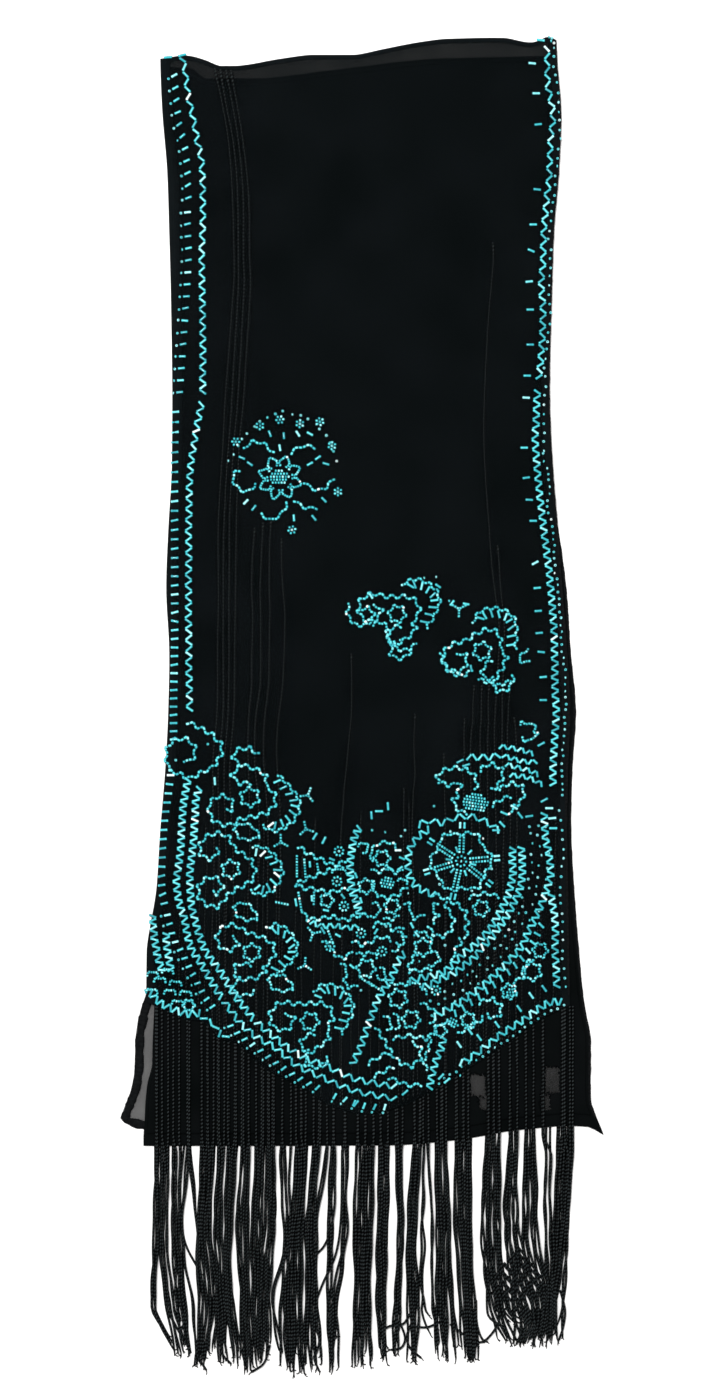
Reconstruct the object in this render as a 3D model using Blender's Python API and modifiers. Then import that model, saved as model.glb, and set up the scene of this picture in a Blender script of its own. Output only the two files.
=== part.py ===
"""Evening stole of sheer black cloth, folded in four and laid flat, with couched cords and a cord fringe.

The fold is at +Y and the fringe at -Y. Sizes are in millimetres: 'across' is measured from the middle line,
and 'down' from the highest point of the top fold towards the fringe.
"""

import math
import random

import bmesh
import bpy
import numpy as np

MM = 0.001
LENGTH = 999.1
HALF_LENGTH = LENGTH / 2

# Cloth layers, from the surface that the stole lies on upwards
LAYER = 1.0
GAP = 0.3
INNER_BASE = LAYER + GAP
INNER_TOP = INNER_BASE + 2 * LAYER
FACE_BASE = INNER_TOP + GAP

# The face turns down at its folds to FACE_FLOOR, and to FACE_LIFT where the back layer comes out below it
FACE_FLOOR = 0.3
FACE_LIFT = 1.9
LIFT_FROM = 660.0
LIFT_UNTIL = 690.0
FOLD_REACH = 3.0

# Turned hem round the lower left corner of the back layer, which lies free from FREE_FROM down
HEM_WIDTH = 4.5
HEM_RISE = 0.5
FREE_WIDTH = 12.0
FREE_FROM = 735.0
BACK_SHY_OF_FOLD = 7.0

CORD_RADIUS = 0.75
CORD_CLEAR = 0.35
CORD_END_CLEAR = 3.0

# Rings of a rounded edge: how far in each is, and the height of the cloth there as a share of its thickness
EDGE_INSETS = (0.0, 0.4, 1.2)
EDGE_HEIGHTS = (0.5, 0.93, 1.0)

# Side edges of the face: down, left, right
FACE_SIDES = np.array(
    [
        (0.0, -151.5, 146.0),
        (16.5, -151.5, 146.3),
        (55.5, -150.0, 149.3),
        (100.5, -146.3, 147.8),
        (145.5, -144.8, 144.0),
        (190.5, -143.6, 142.5),
        (280.5, -142.5, 141.0),
        (325.5, -142.9, 143.3),
        (370.5, -145.5, 147.0),
        (415.5, -147.0, 150.4),
        (460.5, -144.8, 153.8),
        (505.5, -145.5, 156.0),
        (550.5, -147.8, 154.5),
        (595.5, -151.5, 153.8),
        (640.5, -154.5, 154.5),
        (685.5, -161.6, 155.3),
        (727.0, -162.0, 156.0),
        (810.0, -162.0, 156.0),
    ]
)

# Top fold: across, down
FOLD_EDGE = np.array(
    [
        (-152.0, 16.5),
        (-129.0, 14.3),
        (-118.0, 17.3),
        (-106.5, 21.8),
        (-95.0, 21.8),
        (-61.5, 16.5),
        (-39.0, 13.5),
        (-5.0, 13.5),
        (17.0, 9.0),
        (40.0, 4.5),
        (62.0, 1.5),
        (107.0, 0.8),
        (130.0, 3.8),
        (141.0, 0.0),
        (147.0, 3.0),
    ]
)

# Pointed hem of the face: across, down
FACE_HEM = np.array(
    [
        (-162.0, 724.5),
        (-144.0, 731.0),
        (-129.0, 738.0),
        (-120.0, 739.0),
        (-105.0, 753.0),
        (-94.5, 755.0),
        (-75.0, 772.5),
        (-46.5, 788.0),
        (-20.0, 804.0),
        (5.0, 808.5),
        (32.0, 801.8),
        (64.5, 783.8),
        (103.5, 759.0),
        (135.8, 737.0),
        (156.0, 726.8),
    ]
)

# Side edges of the hidden layers: down, left, right
INNER_SIDES = np.array(
    [
        (0.0, -144.5, 140.0),
        (20.0, -144.5, 141.5),
        (55.5, -144.0, 144.5),
        (100.5, -140.3, 143.5),
        (145.5, -138.8, 140.0),
        (190.5, -137.6, 138.0),
        (280.5, -136.5, 136.5),
        (325.5, -136.9, 139.0),
        (370.5, -139.5, 147.5),
        (415.5, -141.0, 153.5),
        (460.5, -138.8, 156.5),
        (505.5, -139.5, 160.5),
        (550.5, -141.8, 157.8),
        (595.5, -145.5, 157.0),
        (640.5, -148.5, 159.3),
        (685.5, -155.0, 162.8),
        (727.0, -155.8, 167.0),
        (753.0, -157.0, 171.8),
        (772.0, -157.5, 171.8),
        (786.0, -161.0, 171.5),
        (800.0, -162.5, 172.0),
        (811.0, -163.0, 176.0),
        (825.0, -164.0, 181.5),
        (840.0, -164.0, 183.0),
    ]
)

# Upper and lower edges of the hidden layers: across, down
INNER_UPPER = np.array(
    [
        (-146.0, 23.0),
        (-128.0, 24.0),
        (-118.0, 31.5),
        (-77.0, 31.5),
        (-24.0, 25.5),
        (51.0, 17.0),
        (144.0, 14.5),
    ]
)
INNER_LOWER = np.array(
    [
        (-164.0, 832.5),
        (-84.0, 832.5),
        (28.0, 832.0),
        (58.0, 829.5),
        (82.5, 826.5),
        (106.5, 822.0),
        (133.5, 819.0),
        (156.0, 817.5),
        (170.0, 818.3),
        (181.5, 824.5),
    ]
)

# Side edges of the back layer, which comes out as a free corner at the lower left: down, left, right
BACK_SIDES = np.array(
    [
        (0.0, -149.5, 144.0),
        (55.5, -148.0, 147.0),
        (100.5, -144.3, 145.5),
        (145.5, -142.8, 141.8),
        (190.5, -141.6, 140.2),
        (280.5, -140.5, 138.5),
        (370.5, -143.5, 145.0),
        (415.5, -145.0, 150.0),
        (460.5, -142.8, 153.0),
        (505.5, -143.5, 157.0),
        (550.5, -145.8, 154.5),
        (595.5, -149.5, 154.5),
        (640.5, -152.5, 156.5),
        (685.5, -159.3, 160.0),
        (714.0, -160.0, 163.0),
        (726.0, -165.0, 164.5),
        (753.0, -170.3, 168.5),
        (775.0, -170.8, 169.0),
        (790.0, -173.3, 169.0),
        (802.0, -177.8, 169.5),
        (813.0, -181.5, 172.0),
        (825.0, -181.5, 173.0),
    ]
)
BACK_LOWER = np.array(
    [
        (-181.5, 812.0),
        (-174.8, 817.0),
        (-164.0, 820.0),
        (-120.0, 822.0),
        (0.0, 820.0),
        (120.0, 812.0),
        (173.0, 811.0),
    ]
)

# Rectangular worn places through the hidden layers: across, down, width, height
WORN_PLACES = (
    (95.5, 785.0, 11.5, 18.0),
    (97.0, 804.0, 7.5, 9.0),
    (142.5, 783.0, 11.5, 20.0),
    (140.5, 804.0, 7.0, 9.0),
)

# Broad swells of the face where the cloth is slack: across, down, half width, half length, height
SWELLS = (
    (-20.0, 62.0, 95.0, 20.0, 0.9),
    (60.0, 48.0, 60.0, 14.0, 0.7),
    (20.0, 168.0, 32.0, 11.0, 0.9),
    (85.0, 276.0, 26.0, 14.0, 0.8),
    (-12.0, 384.0, 40.0, 12.0, 0.9),
    (62.0, 392.0, 22.0, 16.0, 0.7),
    (-60.0, 250.0, 22.0, 60.0, 0.6),
    (40.0, 520.0, 30.0, 40.0, 0.7),
    (-128.0, 420.0, 14.0, 70.0, 0.6),
    (120.0, 330.0, 16.0, 60.0, 0.7),
)

# Couched cords: name, then across and down at each turn of the line, from its top end
COUCHED_CORDS = {
    "left_1": [
        (-110.5, 24.5), (-104.7, 52), (-100, 81), (-97.3, 118), (-96.2, 164), (-96.5, 195),
        (-102, 270), (-104, 306), (-107.6, 362), (-107.6, 432), (-108.5, 506), (-112, 552),
        (-111, 620), (-113, 700), (-112, 744),
    ],
    "left_2": [
        (-106.2, 25.5), (-101.6, 52), (-96.2, 81), (-93.1, 118), (-92.5, 164), (-92.8, 195),
        (-97.4, 270), (-99.6, 306), (-103.3, 362), (-103.8, 432), (-104, 506), (-107.8, 552),
        (-106.5, 620), (-107.5, 700), (-106.5, 750),
    ],
    "left_3": [
        (-102.2, 26), (-97, 52), (-92.4, 81), (-89.3, 118), (-88.7, 164), (-88.2, 195),
        (-92.9, 270), (-95.9, 306), (-99.3, 362), (-99.6, 432), (-100.6, 506), (-103.6, 552),
        (-102, 620), (-102.5, 700), (-101.5, 751),
    ],
    "left_4": [
        (-98.2, 26), (-93.2, 52), (-88.6, 81), (-85, 118), (-84.3, 164), (-83.6, 195),
        (-88.3, 270), (-91.8, 306), (-94, 362), (-95.2, 432), (-96, 506), (-98.8, 552),
        (-96.5, 620), (-97, 700), (-96, 751),
    ],
    "left_5": [
        (-80.5, 369), (-82.5, 411), (-82, 437), (-82.8, 483), (-85.4, 529), (-84, 600), (-86, 680),
        (-85, 760),
    ],
    "left_6": [
        (-74, 365), (-76.4, 411), (-75.8, 437), (-76.5, 483), (-80.5, 529), (-77, 600), (-79, 680),
        (-78, 766),
    ],
    "left_7": [
        (-68.7, 362), (-69.4, 411), (-68.7, 437), (-70.1, 483), (-73.6, 529), (-70.5, 600),
        (-71, 680), (-70, 772),
    ],
    "left_8": [
        (-60.3, 377), (-59.5, 411), (-58, 437), (-59.3, 483), (-63.8, 529), (-61, 600), (-62, 680),
        (-60.5, 777),
    ],
    "middle_1": [
        (-8, 463), (-8, 505), (-10.7, 536), (-14, 575), (-15.6, 604), (-14.5, 680), (-15.5, 760),
        (-14.5, 802),
    ],
    "middle_2": [
        (39.6, 508), (38.8, 535), (39.5, 554), (38.2, 573), (37.6, 603), (39.5, 680), (38.5, 795),
    ],
    "middle_3": [
        (31.4, 564), (31.2, 600), (30.5, 660), (31, 730), (30.5, 799),
    ],
    "right_1": [
        (98.4, 155), (98.4, 170), (94.7, 210), (92.1, 262), (91.4, 302), (93.2, 340), (95.8, 376),
        (99.5, 413), (103, 447), (101, 490), (99.7, 529), (100.5, 600), (99.5, 680), (98.5, 760),
    ],
    "right_2": [
        (101.5, 382), (103.4, 410), (106.4, 445), (105.5, 487), (105.2, 525), (106, 600),
        (105, 680), (104, 756),
    ],
    "right_3": [
        (84.4, 487), (82.7, 511), (81.6, 529), (82, 600), (82.5, 680), (81, 771),
    ],
    "right_4": [
        (89.8, 487), (89.2, 511), (88.4, 529), (88.5, 600), (88.5, 680), (87, 767),
    ],
    "right_5": [
        (95.6, 487), (94.8, 511), (94.1, 529), (94.3, 600), (93.8, 680), (93, 763),
    ],
    "right_6": [
        (111.3, 487), (109.8, 511), (109, 529), (111, 600), (110.5, 680), (109.5, 752),
    ],
    "right_7": [
        (77, 512), (76.3, 530), (76, 600), (76.5, 680), (75.5, 774),
    ],
    "right_8": [
        (114.2, 511), (115.6, 530), (116, 600), (116, 680), (115, 749),
    ],
    "right_9": [
        (61.3, 538), (61.9, 585), (62.5, 680), (62, 783),
    ],
}

# Fringe ends, the same at both layers before the back one's shortening: across, down
FRINGE_ENDS = np.array(
    [
        (-162.0, 966.0),
        (-152.0, 985.0),
        (-130.0, 991.0),
        (-100.0, 991.0),
        (-78.0, 996.0),
        (-66.0, 987.0),
        (-48.0, 999.0),
        (-20.0, 998.0),
        (10.0, 996.0),
        (25.0, 984.0),
        (60.0, 995.0),
        (72.0, 982.0),
        (85.0, 993.0),
        (98.0, 979.0),
        (115.0, 988.0),
        (140.0, 980.0),
        (156.0, 970.0),
    ]
)

# Each fringe: a strand's section, its strip, the height it lies at, its locks and its sections' places
FRINGES = {
    "fringe_front": {
        "strands": 104,
        "width": 1.7,
        "depth": 1.4,
        "strip": 3.0,
        "strip_base": FACE_BASE,
        "lies_at": 2.3,
        "packed_pitch": 2.15,
        "lock_sizes": (3, 6),
        "shortening": 0.0,
        "sway": 1.4,
        "stations": (0.28, 0.52, 0.78, 1.0),
        "seed": 4,
    },
    "fringe_back": {
        "strands": 116,
        "width": 1.5,
        "depth": 1.3,
        "strip": 2.6,
        "strip_base": 0.4,
        "lies_at": 0.4,
        "packed_pitch": 1.95,
        "lock_sizes": (4, 7),
        "shortening": 20.0,
        "sway": 1.0,
        "stations": (0.3, 0.65, 1.0),
        "seed": 9,
    },
}
FRINGE_SPANS = {"fringe_front": (-158.5, 154.0), "fringe_back": (-160.0, 154.0)}
HEM_CLEAR = 0.55
OVER_HEM = 10.0
PAST_BACK = 4.0
TIP_LIES_AT = 1.1
END_SPREAD = 7.0

BLACK_CLOTH = ("black_sheer_cloth", (0.005, 0.006, 0.007), 0.75)
BLACK_CORD = ("black_silk_cord", (0.009, 0.009, 0.010), 0.55)


def smooth(table, at, column=1):
    """Value of a table's column at 'at', on a curve that eases from row to row."""
    places = table[:, 0]
    values = table[:, column]
    slopes = np.gradient(values, places)
    at = float(np.clip(at, places[0], places[-1]))
    i = int(np.clip(np.searchsorted(places, at) - 1, 0, len(places) - 2))
    span = places[i + 1] - places[i]
    t = (at - places[i]) / span
    rise = values[i + 1] - values[i]
    limit = 1.5 * abs(rise)
    start = float(np.clip(slopes[i] * span, -limit, limit))
    end = float(np.clip(slopes[i + 1] * span, -limit, limit))
    bend = t * t * (3 - 2 * t)
    return values[i] + bend * rise + start * t * (1 - t) ** 2 - end * t * t * (1 - t)


def ease(value, start, end):
    """0 before start, 1 after end, and an S curve between."""
    t = min(1.0, max(0.0, (value - start) / (end - start)))
    return t * t * (3 - 2 * t)


def quarter_round(inset, reach):
    """Share of the full height at 'inset' from an edge that is rounded over 'reach'."""
    t = min(1.0, max(0.0, inset / reach))
    return math.sqrt(1 - (1 - t) ** 2)


def point(across, down, height):
    """A place on the stole in Blender's metres."""
    return (across * MM, (HALF_LENGTH - down) * MM, height * MM)


def insets(near, count, far):
    """Places across a piece, each a (share, inset): insets from its start, an even run, insets from its end."""
    run = [(i / (count + 1), 0.0) for i in range(1, count + 1)]
    return [(0.0, d) for d in near] + run + [(1.0, -d) for d in reversed(far)]


def place(u, v, sides, upper, lower):
    """(across, down) at column u and row v, each a (share, inset), between a piece's four edges."""
    down = 400.0 + 800.0 * (v[0] - 0.5)
    across = 0.0
    for _ in range(6):
        left = smooth(sides, down, 1)
        right = smooth(sides, down, 2)
        across = left + u[0] * (right - left) + u[1]
        top = smooth(upper, across)
        down = top + v[0] * (smooth(lower, across) - top) + v[1]
    return across, down


def swell(across, down):
    """Height of the slack cloth above its flat lie."""
    total = 0.0
    for centre, level, half_width, half_length, height in SWELLS:
        far = ((across - centre) / half_width) ** 2 + ((down - level) / half_length) ** 2
        total += height * math.exp(-2 * far)
    return total


def material(name, colour, roughness):
    found = bpy.data.materials.get(name)
    if found:
        return found
    made = bpy.data.materials.new(name)
    made.use_nodes = True
    shader = made.node_tree.nodes["Principled BSDF"]
    shader.inputs["Base Color"].default_value = (*colour, 1.0)
    shader.inputs["Roughness"].default_value = roughness
    shader.inputs["Metallic"].default_value = 0.0
    return made


def add_object(name, data, collection, finish):
    made = bpy.data.objects.new(name, data)
    data.materials.append(material(*finish))
    collection.objects.link(made)
    return made


def grid_faces(rows, columns):
    """Quads of a grid whose points run row by row, facing up where rows go down and columns go right."""
    faces = []
    for row in range(rows - 1):
        for column in range(columns - 1):
            corner = row * columns + column
            faces.append((corner, corner + columns, corner + columns + 1, corner + 1))
    return faces


def rim_of(rows, columns):
    """The border of such a grid as one loop, and for each of its points the one a ring further in."""
    loop = [(0, c) for c in range(columns - 1)]
    loop += [(r, columns - 1) for r in range(rows - 1)]
    loop += [(rows - 1, c) for c in range(columns - 1, 0, -1)]
    loop += [(r, 0) for r in range(rows - 1, 0, -1)]
    inside = [(min(max(r, 1), rows - 2), min(max(c, 1), columns - 2)) for r, c in loop]
    return loop, inside


def laid_solid(name, columns, rows, where, height, base, collection):
    """A solid with a flat underside at 'base', whose rounded edge turns in under its border."""
    places = [[where(u, v) for u in columns] for v in rows]
    points = [point(*places[r][c], height(r, c)) for r in range(len(rows)) for c in range(len(columns))]
    faces = grid_faces(len(rows), len(columns))
    loop, inside = rim_of(len(rows), len(columns))
    first_under = len(points)
    points += [point(*places[r][c], base) for r, c in inside]
    corner_twins = {}
    under = []
    for index, key in enumerate(inside):
        under.append(corner_twins.setdefault(key, first_under + index))
    edge = [r * len(columns) + c for r, c in loop]
    for i in range(len(edge)):
        j = (i + 1) % len(edge)
        ring = [edge[i], edge[j], under[j], under[i]]
        faces.append(tuple(dict.fromkeys(ring)))
    faces.append(tuple(dict.fromkeys(reversed(under))))
    mesh = bpy.data.meshes.new(name)
    mesh.from_pydata(points, [], faces)
    sheet = bmesh.new()
    sheet.from_mesh(mesh)
    loose = [v for v in sheet.verts if not v.link_faces]
    bmesh.ops.delete(sheet, geom=loose, context="VERTS")
    bmesh.ops.recalc_face_normals(sheet, faces=sheet.faces)
    sheet.to_mesh(mesh)
    sheet.free()
    return add_object(name, mesh, collection, BLACK_CLOTH)


def rounded(ring, heights):
    """Height at a ring counted from the border, which stays the same further in than the last one given."""
    return heights[min(ring, len(heights) - 1)]


def back_layer(collection):
    """The lowest layer: a single cloth whose lower left corner lies free, with a turned hem round it."""
    hem_insets = EDGE_INSETS + (HEM_WIDTH, HEM_WIDTH + 0.5, FREE_WIDTH, FREE_WIDTH + 1.0)
    columns = insets(hem_insets, 6, EDGE_INSETS)
    rows = insets(EDGE_INSETS, 22, hem_insets)
    hem = (0.5 * LAYER, LAYER, LAYER + HEM_RISE, LAYER + HEM_RISE, LAYER)
    plain = tuple(share * LAYER for share in EDGE_HEIGHTS)
    upper = FOLD_EDGE + np.array([0.0, BACK_SHY_OF_FOLD])

    def where(u, v):
        return place(u, v, BACK_SIDES, upper, BACK_LOWER)

    def height(r, c):
        across, down = where(columns[c], rows[r])
        from_foot = len(rows) - 1 - r
        from_right = len(columns) - 1 - c
        free_side = down > FREE_FROM
        free_foot = columns[c][0] == 0.0 and columns[c][1] <= FREE_WIDTH
        left = rounded(c, hem if free_side else plain)
        foot = rounded(from_foot, hem if free_foot else plain)
        rest = rounded(min(r, from_right), plain)
        if min(c, from_foot) <= 1:
            return min(left, foot)
        if rest < LAYER:
            return min(left, foot, rest)
        return max(left, foot) if free_side else LAYER

    return laid_solid("back_layer", columns, rows, where, height, 0.0, collection)


def inner_where(u, v):
    return place(u, v, INNER_SIDES, INNER_UPPER, INNER_LOWER)


def inner_grid():
    """Columns and rows of the hidden layers: the upper of the two ends further in than the lower."""
    left = EDGE_INSETS + (2.6, 3.4)
    right = EDGE_INSETS + (3.6, 4.4)
    upper = EDGE_INSETS + (3.6, 4.4)
    lower = EDGE_INSETS + (8.6, 9.4)
    return insets(left, 7, right), insets(upper, 21, lower)


def inner_layers(collection):
    """The hidden layers of the fold as one rounded solid, stepped where one layer ends before the other."""
    columns, rows = inner_grid()
    heights = tuple(share * LAYER for share in EDGE_HEIGHTS) + (LAYER, 2 * LAYER)

    def height(r, c):
        border = min(r, c, len(rows) - 1 - r, len(columns) - 1 - c)
        return INNER_BASE + rounded(border, heights)

    made = laid_solid("inner_layers", columns, rows, inner_where, height, INNER_BASE, collection)
    for across, down, width, tall in WORN_PLACES:
        cut_worn_place(made, across, down, width, tall)
    return made


def cut_worn_place(solid, across, down, width, tall):
    """Cuts a rectangle through a solid with a box."""
    centre = point(across, down, (INNER_BASE + INNER_TOP) / 2)
    bpy.ops.mesh.primitive_cube_add(size=1.0, location=centre)
    box = bpy.context.object
    box.name = "worn_place_cutter"
    box.scale = (width * MM, tall * MM, 4 * LAYER * MM)
    box.hide_render = True
    box.display_type = "WIRE"
    cutters = bpy.data.collections["cutters"]
    for owner in box.users_collection:
        owner.objects.unlink(box)
    cutters.objects.link(box)
    cut = solid.modifiers.new("worn_place", "BOOLEAN")
    cut.operation = "DIFFERENCE"
    cut.solver = "EXACT"
    cut.object = box


def face_grid():
    """Columns and rows of the face, closer together where it turns down at its left and top folds."""
    left = (0.0, 0.35, 1.2, 2.6, 5.0)
    right = (0.0, 3.0)
    top = (0.0, 0.35, 1.2, 2.6, 5.0, 10.5, 16.0)
    return insets(left, 13, right), insets(top, 23, (0.0, 6.0))


def face_where(u, v):
    sides = FACE_SIDES + np.array([0.0, LAYER, 0.0])
    upper = FOLD_EDGE + np.array([0.0, LAYER])
    return place(u, v, sides, upper, FACE_HEM)


def face_height(across, down):
    """Underside of the face: full height over the hidden layers, lower by the top fold, round at both folds."""
    from_left = across - smooth(FACE_SIDES, down, 1) - LAYER
    from_fold = down - smooth(FOLD_EDGE, across) - LAYER
    past_inner = down - smooth(INNER_UPPER, across)
    low = INNER_BASE + (FACE_BASE - INNER_BASE) * ease(past_inner, -7.0, -1.0)
    round_left = quarter_round(from_left, FOLD_REACH)
    round_fold = quarter_round(from_fold, FOLD_REACH)
    floor = FACE_FLOOR + (FACE_LIFT - FACE_FLOOR) * ease(down, LIFT_FROM, LIFT_UNTIL)
    lie = floor + (low - floor) * min(round_left, round_fold)
    settled = ease(min(from_left, from_fold - 12.0), 4.0, 18.0)
    return lie + swell(across, down) * settled


def face_places():
    """The underside of the face as its grid has it: (across, down, height) for each row and column."""
    columns, rows = face_grid()
    places = np.array([[face_where(u, v) for u in columns] for v in rows])
    heights = [[face_height(*at) for at in row] for row in places]
    return np.dstack([places, np.array(heights)])


def face_layer(face, collection):
    """The upper layer, which carries the bead work: an open sheet given its wall by Solidify."""
    points = [point(*at) for row in face for at in row]
    mesh = bpy.data.meshes.new("face_layer")
    mesh.from_pydata(points, [], grid_faces(face.shape[0], face.shape[1]))
    made = add_object("face_layer", mesh, collection, BLACK_CLOTH)
    wall = made.modifiers.new("wall", "SOLIDIFY")
    wall.thickness = LAYER * MM
    wall.offset = 1.0
    wall.use_even_offset = True
    return made


def on_row(row, line):
    """How far down a line of (down, across) crosses a row of the face, and how high the face is there."""
    across = smooth(line, float(row[:, 1].mean()))
    for _ in range(6):
        down = float(np.interp(across, row[:, 0], row[:, 1]))
        across = smooth(line, down)
    return down, float(np.interp(across, row[:, 0], row[:, 2]))


def couched_cord(name, turns, face, collection):
    """A cord stitched down on the face, from its knot to the pointed hem."""
    line = np.array(turns, float)[:, [1, 0]]
    levels = np.array([on_row(row, line) for row in face])
    first = line[0, 0]
    last = min(levels[-1, 0] - CORD_END_CLEAR, line[-1, 0])
    stops = [first] + [down for down in levels[:, 0] if first + 1.0 < down < last - 4.0] + [last]
    curve = bpy.data.curves.new(name, "CURVE")
    curve.dimensions = "3D"
    curve.bevel_depth = CORD_RADIUS * MM
    curve.bevel_resolution = 0
    curve.fill_mode = "FULL"
    curve.use_fill_caps = True
    spline = curve.splines.new("POLY")
    spline.points.add(len(stops) - 1)
    lift = LAYER + CORD_CLEAR + CORD_RADIUS
    for i, down in enumerate(stops):
        height = float(np.interp(down, levels[:, 0], levels[:, 1]))
        spline.points[i].co = (*point(smooth(line, down), down, height + lift), 1.0)
    return add_object(name, curve, collection, BLACK_CORD)


def locks_of(count, sizes, dice):
    """Splits the strands into locks that lie together: a list of (first strand, number of strands)."""
    locks = []
    first = 0
    while first < count:
        size = min(dice.randint(*sizes), count - first)
        locks.append((first, size))
        first += size
    return locks


def strand_plan(spec, hem, first_across, last_across):
    """For each strand: across and down at its root, across in its lock, its sway, and down at its end."""
    dice = random.Random(spec["seed"])
    pitch = (last_across - first_across) / (spec["strands"] - 1)
    plan = []
    for first, size in locks_of(spec["strands"], spec["lock_sizes"], dice):
        middle = first_across + pitch * (first + (size - 1) / 2)
        sway = dice.uniform(-spec["sway"], spec["sway"])
        for k in range(size):
            across = first_across + pitch * (first + k)
            gathered = middle + (k - (size - 1) / 2) * spec["packed_pitch"]
            root = float(np.interp(across, hem[:, 0], hem[:, 1])) + HEM_CLEAR
            end = smooth(FRINGE_ENDS, across) - spec["shortening"] - dice.uniform(0.0, END_SPREAD)
            plan.append((across, root, gathered, sway, end))
    return plan


def strand_sections(spec, strand, over_until):
    """Sections down a strand: (across, down, height of its underside)."""
    across, root, gathered, sway, end = strand
    start = root + spec["strip"]
    lies_at, strip_base = spec["lies_at"], spec["strip_base"]
    sections = []
    if strip_base > lies_at:
        sections.append((across, over_until, strip_base))
        start = over_until + OVER_HEM
        sections.append((across + 0.12 * (gathered - across), start, lies_at))
    stop = end
    if strip_base > lies_at:
        stop = smooth(FRINGE_ENDS, across) - FRINGES["fringe_back"]["shortening"] + PAST_BACK
    for share in spec["stations"]:
        gather = ease(share, 0.0, 0.8)
        bend = sway * math.sin(math.pi * share)
        x = across + gather * (gathered - across) + bend
        sections.append((x, start + share * (stop - start), lies_at))
    if strip_base > lies_at:
        sections.append((gathered, end, TIP_LIES_AT))
    return sections


def strip_station(work, spec, hem, across, root):
    """The strip's points where one strand leaves it, as new vertices by name."""
    half = spec["width"] / 2
    base = spec["strip_base"]
    top = base + spec["depth"]
    foot = root + spec["strip"]
    level = np.interp(across, hem[:, 0], hem[:, 1])
    foot_left = foot + np.interp(across - half, hem[:, 0], hem[:, 1]) - level
    foot_right = foot + np.interp(across + half, hem[:, 0], hem[:, 1]) - level
    places = {
        "hem_top": (across, root, top),
        "hem_base": (across, root, base),
        "left": (across - half, foot_left, top),
        "right": (across + half, foot_right, top),
        "under": (across, foot, base),
    }
    return {name: work.verts.new(point(*at)) for name, at in places.items()}


def strip_faces(work, stations):
    """Closes the strip between its stations, and returns the face that each strand grows from."""
    roots = []
    for here in stations:
        roots.append(work.faces.new((here["left"], here["right"], here["under"])))
        work.faces.new((here["hem_top"], here["right"], here["left"]))
    for here, there in zip(stations, stations[1:]):
        work.faces.new((here["right"], there["left"], there["under"], here["under"]))
        work.faces.new((here["hem_top"], there["hem_top"], there["left"], here["right"]))
        work.faces.new((here["hem_base"], here["under"], there["under"], there["hem_base"]))
        work.faces.new((here["hem_top"], here["hem_base"], there["hem_base"], there["hem_top"]))
    first, last = stations[0], stations[-1]
    work.faces.new((first["hem_top"], first["left"], first["under"], first["hem_base"]))
    work.faces.new((last["hem_top"], last["hem_base"], last["under"], last["right"]))
    return roots


def draw_out(work, face, corners, sections, spec):
    """Extrudes a three-sided strand from a face through its sections."""
    half = spec["width"] / 2
    offsets = ((-half, spec["depth"]), (half, spec["depth"]), (0.0, 0.0))
    for across, down, height in sections:
        order = [corners.index(vertex) for vertex in face.verts]
        face = bmesh.ops.extrude_discrete_faces(work, faces=[face])["faces"][0]
        fresh = list(face.verts)
        corners = [fresh[order.index(k)] for k in range(3)]
        for corner, (sideways, up) in zip(corners, offsets):
            corner.co = point(across + sideways, down, height + up)


def fringe(name, hem, over_until, collection):
    """A strip along a hem, with a three-sided strand drawn out of it for each cord."""
    spec = FRINGES[name]
    plan = strand_plan(spec, hem, *FRINGE_SPANS[name])
    work = bmesh.new()
    stations = [strip_station(work, spec, hem, strand[0], strand[1]) for strand in plan]
    roots = strip_faces(work, stations)
    bmesh.ops.recalc_face_normals(work, faces=work.faces)
    for strand, face, here in zip(plan, roots, stations):
        corners = [here["left"], here["right"], here["under"]]
        draw_out(work, face, corners, strand_sections(spec, strand, over_until), spec)
    bmesh.ops.recalc_face_normals(work, faces=work.faces)
    mesh = bpy.data.meshes.new(name)
    work.to_mesh(mesh)
    work.free()
    return add_object(name, mesh, collection, BLACK_CORD)


def clear_scene():
    for item in list(bpy.data.objects):
        bpy.data.objects.remove(item, do_unlink=True)


def main():
    clear_scene()
    stole = bpy.data.collections.new("evening_stole")
    cutters = bpy.data.collections.new("cutters")
    bpy.context.scene.collection.children.link(stole)
    bpy.context.scene.collection.children.link(cutters)

    back_layer(stole)
    inner_layers(stole)
    face = face_places()
    face_layer(face, stole)

    inner_columns, inner_rows = inner_grid()
    face_hem = face[-1, :, :2]
    inner_hem = np.array([inner_where(u, inner_rows[-1]) for u in inner_columns])
    over_until = float(INNER_LOWER[:, 1].max()) + 1.0
    fringe("fringe_front", face_hem, over_until, stole)
    fringe("fringe_back", inner_hem, over_until, stole)
    for name, turns in COUCHED_CORDS.items():
        couched_cord("cord_" + name, turns, face, stole)


main()
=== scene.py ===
"""Looks of an evening stole: sheer black cloth folded in four, glass beads, couched cords and fringe.

Sizes are in millimetres: 'across' is measured from the middle line and 'down' from the highest point of the
top fold. Heights are above the surface that the stole lies on.
"""

import math

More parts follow.
